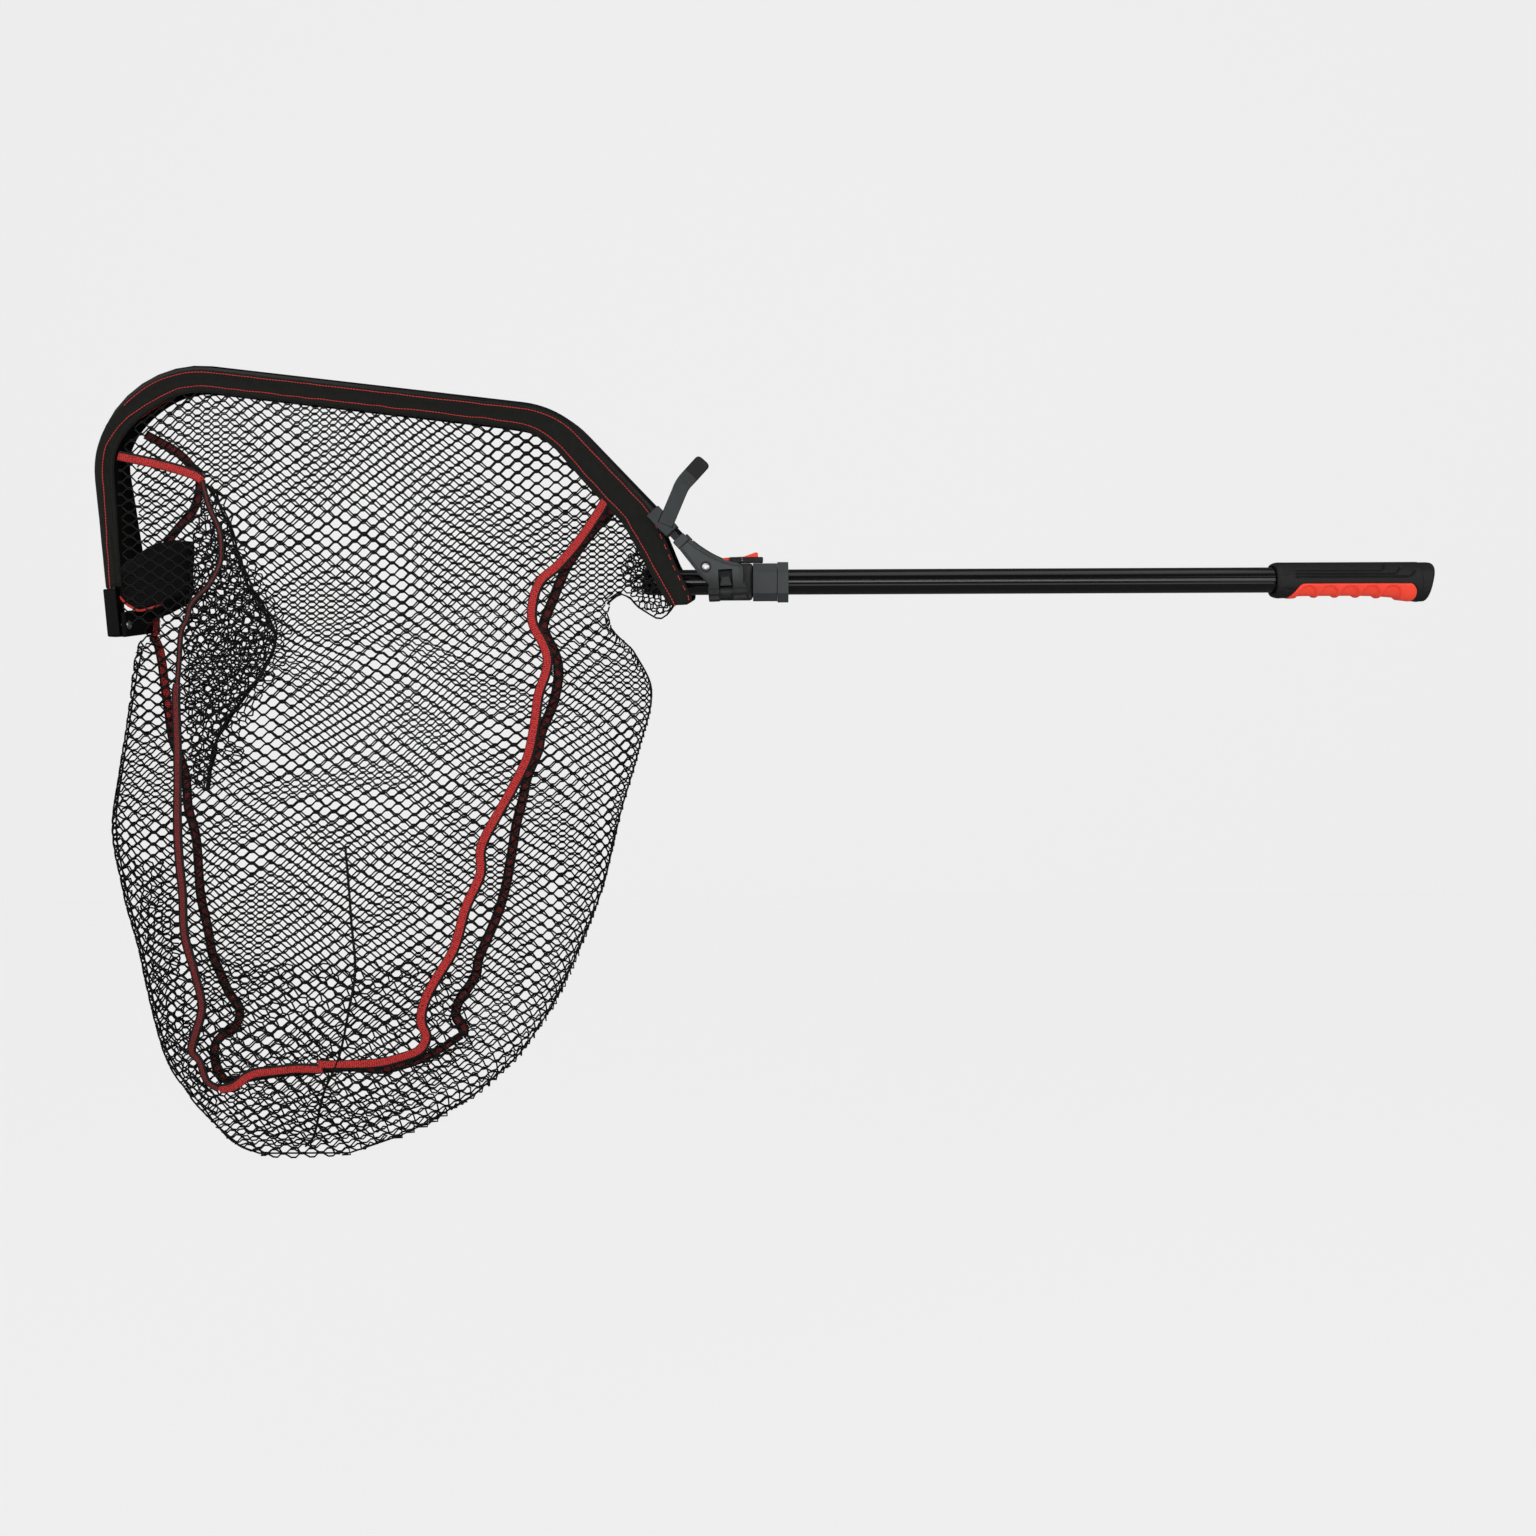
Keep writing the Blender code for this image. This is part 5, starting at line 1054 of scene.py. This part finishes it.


# Knit tones: bright is the ribbon's own red, and the dark and dim reds are painted shade on the same ribbon.
TAPE_KNIT_SHADES = {"bright": (0.22, 0.94, linear(200, 34, 32)), "dark": (0.26, 0.80, linear(122, 15, 17)),
             "dim": (0.34, 0.66, linear(112, 14, 16))}
for name, side, width, shading, points in TAPES:
    low, high, red = TAPE_KNIT_SHADES[shading]
    knit_mat = tape_finish(f"{name}_knit", low, high, width, red)
    tape = add_piece(name, strip_mesh(name, tape_rows(side, points, width))[0], knit_mat)
    thicken(tape, TAPE_THICK)
    across_fold(tape)
    slack[side].append(tape)

# Side seam: a line of thick black stitches that closes the near netting in the middle of the bag
SIDE_SEAM = [(-0.990, 0.232), (-0.984, 0.294), (-0.980, 0.348), (-0.987, 0.389), (-0.996, 0.428),
             (-1.006, 0.454), (-1.018, 0.478), (-1.035, 0.529), (-1.046, 0.545)]
SEAM_STAND = 0.001
seam_line = []
for x, depth in smooth_route(SIDE_SEAM, 0.003):
    here, normal = net_frame(-1, x, depth)
    seam_line.append(here + normal * SEAM_STAND)
seam = grow("near_side_seam", [seam_line], "net_mesh", STITCHING, Pitch=0.0034, Length=0.0060, Radius=0.0014,
            Thread=black_twine)
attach(seam, "yoke")
slack[-1].append(seam)

# Tip flap: a pocket of black cloth between the two halves at the tip, with red binding at the near end of its
# foot. Its top and foot are heights at places along X, and it reaches from one hem round to the other.
FLAP_FRONT_X = -1.2262
FLAP_REACH = 0.064
FLAP_HALF = 0.0272
FLAP_FAR_DROP = 0.009
FLAP_CLOTH = 0.0010
FLAP_FOLD = 0.0022
FLAP_PINCH = 0.12
BINDING_DROP = 0.0006
FLAP_COLUMNS = 48
FLAP_ROWS = 14
FLAP_LINE = [(-1.2262, 0.0130, -0.0055), (-1.2165, 0.0205, -0.0180), (-1.2053, 0.0310, -0.0248),
             (-1.1940, 0.0397, -0.0215), (-1.1770, 0.0440, -0.0135), (-1.1622, 0.0430, -0.0090)]
flap_cloth = cloth_finish("flap_cloth", linear(8, 8, 8), linear(17, 17, 16), 0.15, 0.02)
flap_rows, flap_foot = [], []
for i in range(FLAP_COLUMNS + 1):
    a = 2 * i / FLAP_COLUMNS - 1
    x = FLAP_FRONT_X + FLAP_REACH * (1 - abs(a) ** 1.6)
    y = FLAP_HALF * math.copysign(abs(a) ** 0.8, a)
    top, foot = read_off(FLAP_LINE, x)
    foot -= FLAP_FAR_DROP * smooth_step(0.1, 0.4, a)
    row = []
    for k in range(FLAP_ROWS + 1):
        t = k / FLAP_ROWS
        fold = FLAP_FOLD * crumple(a * 2.5, t * 3.0, 4.0) * min(1.0, 3 * (1 - abs(a)) + 0.2)
        row.append(Vector((x + fold, y * (1 - FLAP_PINCH * math.sin(math.pi * t)), top + (foot - top) * t)))
    flap_rows.append(row)
    if a < -0.5:
        flap_foot.append(row[-1] - Vector((0, 0, BINDING_DROP)))
mesh, length, cut_width = strip_mesh("tip_flap_cloth", flap_rows)
flap = add_piece("tip_flap_cloth", mesh, flap_cloth)
thicken(flap, FLAP_CLOTH)
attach(flap, "yoke")
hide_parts("tip_flap")
binding = grow("tip_flap_binding", [flap_foot], "tape_red", STITCHING, Pitch=0.0022, Length=0.0038,
               Radius=0.0015, Thread=red_thread)
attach(binding, "yoke")

# Band under the pole: the hem's own cloth, which joins the feet of both hems and sags between its edges
BRIDGE_FRONT_X = -0.6860
BRIDGE_BACK_X = -0.6680
BRIDGE_CLOTH = 0.0022
BRIDGE_ROUND = 0.0055
BRIDGE_PUCKER = 0.0004
BRIDGE_COLUMNS = 32
BRIDGE_ROWS = 8
bridge_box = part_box("hem_bridge")
bridge_top = bridge_box[1][2] - BRIDGE_CLOTH
bridge_low = bridge_box[0][2] + BRIDGE_CLOTH
bridge_half = bridge_box[1][1] - BRIDGE_CLOTH
bridge_rows = []
for i in range(BRIDGE_COLUMNS + 1):
    a = 2 * i / BRIDGE_COLUMNS - 1
    y = bridge_half * math.copysign(min(1.0, abs(a) * 1.45) ** 0.9, a)
    drop = smooth_step(0.62, 1.0, abs(a))
    row = []
    for k in range(BRIDGE_ROWS + 1):
        edge = abs(2 * k / BRIDGE_ROWS - 1) ** 3
        low = bridge_low + BRIDGE_ROUND * edge + BRIDGE_PUCKER * crumple(a * 6, k * 0.5, 2.0)
        x = BRIDGE_FRONT_X + (BRIDGE_BACK_X - BRIDGE_FRONT_X) * k / BRIDGE_ROWS
        row.append(Vector((x, y * (1 - 0.06 * edge), low + (bridge_top - low) * drop)))
    bridge_rows.append(row)
mesh, length, cut_width = strip_mesh("bridge_cloth", bridge_rows)
bridge = add_piece("bridge_cloth", mesh, hem_cloth)
thicken(bridge, BRIDGE_CLOTH)
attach(bridge, "yoke")
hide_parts("hem_bridge")

# Grip: a black rubber sleeve, deeper towards the butt. Three long grooves run along each side and turn up at
# their rear ends, two patches of short ribs sit behind its front edge, and a pocket takes the red inlay.
GRIP_WAIST = 0.0176
GRIP_SWELL = 0.0012
GRIP_FLARE = 0.0050
GRIP_SHOULDER = 0.006
GRIP_SHOULDER_ROUND = 0.0018
GRIP_FULLNESS = 0.8
GRIP_BORE = 0.0133
GRIP_STATIONS = 204
GRIP_AROUND = 240
GROOVE_FRONT_X = -0.0646
GROOVES = [(0.0092, 0.0200), (0.0060, 0.0340), (0.0032, 0.0480)]
GROOVE_DEPTH = 0.0016
GROOVE_HALF = 0.0012
GROOVE_TURN = 0.006
GROOVE_END = Vector((0.005, 0.0065))
RIB_PATCHES = [(-0.0775, -0.0655, 0.0052, 0.0098), (-0.0775, -0.0675, -0.0105, -0.0075)]
RIB_PITCH = 0.0026
RIB_DEPTH = 0.0009
INLAY_CORNERS = [(-0.0752, -0.024), (-0.060, -0.0034), (0.0582, -0.0034), (0.0510, -0.024)]
INLAY_CORNER = 0.0085
INLAY_SEAT = 0.0016

grip_rubber = finish("grip_rubber", linear(15, 16, 15), linear(27, 28, 27), 0.62, 2400.0, 60.0, 0.3,
                     shine=0.35)
coat(grip_rubber, "butt_cap")
grip_low, grip_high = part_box("grip_body")
grip_length = grip_high[0] - grip_low[0]


def grip_bottom(x):
    """How far the grip reaches below the pole's axis."""
    t = (x - grip_low[0]) / grip_length
    swell = GRIP_SWELL * max(0.0, 1 - t / 0.3) ** 2
    return GRIP_WAIST + swell + GRIP_FLARE * max(0.0, (t - 0.55) / 0.45) ** 2


def signed_power(value, power):
    """A share from -1 to 1 raised to a power, with its sign kept."""
    return math.copysign(abs(value) ** power, value)


def rib_wave(distance, pitch):
    """A wave from 0 to 1 along a row of ribs."""
    return 0.5 + 0.5 * math.cos(2 * math.pi * distance / pitch)


def grip_point(x, angle, sink):
    """A point round the grip, sunk into its surface."""
    sink += GRIP_SHOULDER_ROUND * max(0.0, 1 - (x - grip_low[0]) / GRIP_SHOULDER) ** 2
    c, s = math.cos(angle), math.sin(angle)
    reach = grip_high[2] if s > 0 else grip_bottom(x)
    y = (grip_high[1] - sink) * signed_power(c, GRIP_FULLNESS)
    return Vector((x, y, (reach - sink) * signed_power(s, GRIP_FULLNESS)))


def tube_mesh(name, rings, split=None, loop=False):
    """A closed surface through rings of points. Rings from split on take the second material. A loop joins
    its last ring to its first, and any other tube is capped."""
    mesh = bpy.data.meshes.new(name)
    bm = bmesh.new()
    grid = [[bm.verts.new(p) for p in ring] for ring in rings]
    for i in range(len(rings) if loop else len(rings) - 1):
        ring, following = grid[i], grid[(i + 1) % len(grid)]
        for k in range(len(ring)):
            n = (k + 1) % len(ring)
            face = bm.faces.new((ring[k], ring[n], following[n], following[k]))
            face.smooth = True
            face.material_index = int(split is not None and i >= split)
    if not loop:
        bm.faces.new(grid[0])
        bm.faces.new(grid[-1]).material_index = int(split is not None)
    bmesh.ops.recalc_face_normals(bm, faces=bm.faces)
    bm.to_mesh(mesh)
    bm.free()
    return mesh


groove_points = []
for level, rear in GROOVES:
    corner = Vector((rear, level))
    turned = rounded_path([(GROOVE_FRONT_X, level), corner, corner + GROOVE_END], GROOVE_TURN)
    groove_points += even_path(turned, 0.0006)
groove_tree = kdtree.KDTree(len(groove_points))
for i, place in enumerate(groove_points):
    groove_tree.insert((place.x, 0, place.y), i)
groove_tree.balance()
inlay_side = rounded_path(INLAY_CORNERS, INLAY_CORNER)
turns = [2 * math.pi * k / GRIP_AROUND for k in range(GRIP_AROUND)]
sleeve_rings = []
for i in range(GRIP_STATIONS + 1):
    x = grip_low[0] + grip_length * i / GRIP_STATIONS
    ring = []
    for angle in turns:
        z = grip_point(x, angle, 0.0).z
        sink = GROOVE_DEPTH * (1 - smooth_step(0.0003, GROOVE_HALF, groove_tree.find((x, 0, z))[2]))
        for front, back, low, high in RIB_PATCHES:
            if front < x < back and low < z < high:
                sink += RIB_DEPTH * rib_wave(x, RIB_PITCH)
        if inside(inlay_side, x, z):
            sink = INLAY_SEAT
        ring.append(grip_point(x, angle, sink))
    sleeve_rings.append(ring)
bore = [[Vector((x, GRIP_BORE * math.cos(a), GRIP_BORE * math.sin(a))) for a in turns]
        for x in (grip_low[0], grip_high[0])]
sleeve = add_piece("grip_sleeve", tube_mesh("grip_sleeve", [bore[0]] + sleeve_rings + [bore[1]], loop=True),
                   grip_rubber)
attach(sleeve, "handle")
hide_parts("grip_body")

# Inlay: soft red rubber wrapped under the grip, with five finger scoops on each side
INLAY_RISE = [-0.0012, -0.0001, 0.0002, 0.0003]
INLAY_WALL = 0.0008
SCOOPS_X = [-0.0525, -0.0317, -0.0110, 0.0098, 0.0306]
SCOOP_WIDE = 0.0098
SCOOP_TALL = 0.0125
SCOOP_DEPTH = 0.0021
SCOOP_LINE = 0.0007
inlay_top = INLAY_CORNERS[1][1]


def span_at(outline, z):
    """Where an outline crosses a height, front and back."""
    crossed = [a.x + (b.x - a.x) * (z - a.y) / (b.y - a.y) for a, b in zip(outline, outline[1:])
               if (a.y > z) != (b.y > z)]
    return min(crossed), max(crossed)


inlay_rows = []
ALONG_STEPS, AROUND_STEPS = 190, 96
for j in range(AROUND_STEPS + 1):
    share = math.sin(math.pi / 2 * (1 - abs(2 * j / AROUND_STEPS - 1)))
    front, back = span_at(inlay_side, inlay_top - 0.0001 - (GRIP_WAIST + inlay_top - 0.0002) * share)
    row = []
    for i in range(ALONG_STEPS + 1):
        x = front + (back - front) * i / ALONG_STEPS
        z = inlay_top - (grip_bottom(x) + inlay_top) * share
        low_angle = math.asin(min(1.0, (-z / grip_bottom(x)) ** (1 / GRIP_FULLNESS)))
        angle = math.pi + low_angle if j < AROUND_STEPS / 2 else -low_angle
        rise = INLAY_RISE[min(i, ALONG_STEPS - i, j, AROUND_STEPS - j, len(INLAY_RISE) - 1)]
        for centre in SCOOPS_X:
            reach = math.hypot((x - centre) / SCOOP_WIDE, (z + GRIP_WAIST) / SCOOP_TALL)
            rise -= SCOOP_DEPTH * (1 - smooth_step(0.86, 1.0, reach))
            rise -= SCOOP_LINE * math.exp(-((reach - 0.98) / 0.05) ** 2)
        row.append(grip_point(x, angle, -rise))
    inlay_rows.append(row)
inlay = add_piece("inlay_skin", strip_mesh("inlay_skin", inlay_rows)[0], red_rubber)
thicken(inlay, INLAY_WALL)
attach(inlay, "handle")
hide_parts("grip_inlay")

# Strap: one grey rubber tongue that leaves the clip on the near bar, with ribs below its black tip. It bends
# where it leaves the clip.
STRAP_FOOT = Vector((-0.0523, 0.0789))
STRAP_STEM_WAY = Vector((0.4305, 0.9026))
STRAP_TIP_WAY = Vector((0.7071, 0.7071))
STRAP_ROOT = 0.012
STRAP_STEM = 0.031
STRAP_TIP = 0.032
STRAP_CURVE = 0.03
STRAP_STAND = 0.01005
STRAP_HALF_WIDTH = 0.0075
STRAP_TIP_FLARE = 0.0006
STRAP_TIP_CORNER = 0.0042
STRAP_HALF_THICK = 0.0015
STRAP_RIB = 0.0005
STRAP_RIB_PITCH = 0.0034
STRAP_EDGE = 0.35
STRAP_AROUND = 20
strap_rubber = finish("strap_rubber", linear(39, 43, 44), linear(54, 58, 59), 0.6, 2400.0, 50.0, 0.3,
                      shine=0.35)
coat(strap_rubber, "strap_clip")
strap_root = STRAP_FOOT - STRAP_STEM_WAY * STRAP_ROOT
strap_corner = STRAP_FOOT + STRAP_STEM_WAY * STRAP_STEM
strap_end = strap_corner + STRAP_TIP_WAY * STRAP_TIP
strap_line = even_path(rounded_path([strap_root, strap_corner, strap_end], STRAP_CURVE), 0.0005)
strap_length = STRAP_ROOT + STRAP_STEM + STRAP_TIP
strap_rings, black_from = [], 0
for i, place in enumerate(strap_line):
    along = heading(strap_line, i)
    across = Vector((along.y, -along.x))
    left = strap_length * (1 - i / (len(strap_line) - 1))
    past_bend = STRAP_TIP - left
    if past_bend < 0.4 * STRAP_TIP:
        black_from = i
    wide = STRAP_HALF_WIDTH + STRAP_TIP_FLARE * smooth_step(-0.01, 0.01, past_bend)
    if left < STRAP_TIP_CORNER:
        wide -= STRAP_TIP_CORNER - math.sqrt(STRAP_TIP_CORNER ** 2 - (STRAP_TIP_CORNER - left) ** 2)
    ribbed = smooth_step(0.0, 0.001, past_bend) * (1 - smooth_step(0.012, 0.013, past_bend))
    thick = STRAP_HALF_THICK - STRAP_RIB * ribbed * rib_wave(past_bend, STRAP_RIB_PITCH)
    ring = []
    for k in range(STRAP_AROUND):
        angle = 2 * math.pi * (k + 0.5) / STRAP_AROUND
        c, s = math.cos(angle), math.sin(angle)
        spot = place + across * wide * signed_power(c, STRAP_EDGE)
        ring.append(half_point(-1, spot.x, spot.y, STRAP_STAND + thick * signed_power(s, STRAP_EDGE)))
    strap_rings.append(ring)
strap = add_piece("strap_tongue", tube_mesh("strap_tongue", strap_rings, black_from), strap_rubber)
strap.data.materials.append(grip_rubber)
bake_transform(strap)
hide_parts("strap", "strap_root")

# Arms: a moulded bead inside each edge of the outer face, and a black seat round the bright rivet
ARM_FACE = 0.0075
ARM_BEAD = 0.0009
ARM_INSET = 0.0025
ARM_CREST = [(-0.0349, 0.0529), (-0.0105, 0.0308), (0.0116, 0.0274)]
ARM_BACK = [(0.0131, 0.0225), (0.0131, 0.0100)]
ARM_LOWER = [(-0.0430, 0.0447), (-0.0260, 0.0203), (-0.0170, 0.0105)]
RIVET_PLACE = (-0.0203, 0.0252)
RIVET_SEAT = 0.0055
RIVET_SEAT_RISE = 0.0002
RIVET_SEAT_FOOT = 0.001
RIVET_SEAT_STEPS = 32
crest = []
for i in range(13):
    t = i / 12
    a, b, c = (Vector(p) for p in ARM_CREST)
    course = (b - a) * (1 - t) + (c - b) * t
    inward = Vector((course.y, -course.x)).normalized()
    crest.append(a * (1 - t) ** 2 + b * 2 * t * (1 - t) + c * t * t + inward * ARM_INSET)
for side, name in SIDES.items():
    upper = rounded_path(crest + [Vector(p) for p in ARM_BACK], 0.0004, 3)
    lower = rounded_path(ARM_LOWER, 0.004, 6)
    beads = [[half_point(side, *p, ARM_FACE) for p in line] for line in (upper, lower)]
    bead = grow(f"{name}_arm_beads", beads, "grey_plastic", TWINE, Radius=ARM_BEAD, Sides=8,
                Twine=grey_plastic)
    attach(bead, f"{name}_half")
    rings = []
    for stand in (ARM_FACE - RIVET_SEAT_FOOT, ARM_FACE + RIVET_SEAT_RISE):
        ring = []
        for k in range(RIVET_SEAT_STEPS):
            angle = 2 * math.pi * k / RIVET_SEAT_STEPS
            u = RIVET_PLACE[0] + RIVET_SEAT * math.cos(angle)
            w = RIVET_PLACE[1] + RIVET_SEAT * math.sin(angle)
            ring.append(half_point(side, u, w, stand))
        rings.append(ring)
    seat = add_piece(f"{name}_rivet_seat", tube_mesh("rivet_seat", rings), black_plastic)
    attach(seat, f"{name}_half")

# Springs: wire coils under the rocker and behind each catch.
# Each has its joint, axis, seated end, turns and travel.
SPRING_WIRE = 0.0005
COIL_STEPS = 16
SPRINGS = [("button_spring", "button_press", 2, 0, 3, 0.0018),
           ("near_latch_spring", "near_catch_press", 1, 1, 4, 0.0031),
           ("far_latch_spring", "far_catch_press", 1, 0, 4, 0.0031)]
for name, joint, axis, seat, turns, travel in SPRINGS:
    low, high = (Vector(p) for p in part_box(name))
    reach = (high[axis - 1] - low[axis - 1] - SPRING_WIRE) / 2
    tall = high[axis] - low[axis]
    line = []
    for i in range(turns * COIL_STEPS + 1):
        angle = 2 * math.pi * i / COIL_STEPS
        point = (low + high) / 2
        point[axis - 2] += reach * math.cos(angle)
        point[axis - 1] += reach * math.sin(angle)
        point[axis] = low[axis] + SPRING_WIRE / 2 + (tall - SPRING_WIRE) * i / (turns * COIL_STEPS)
        line.append(point)
    spring = grow(f"{name}_coil", [line], "steel", TWINE, Radius=SPRING_WIRE / 2, Sides=6, Twine=steel)
    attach(spring, "yoke")
    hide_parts(name)
    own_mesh(spring)
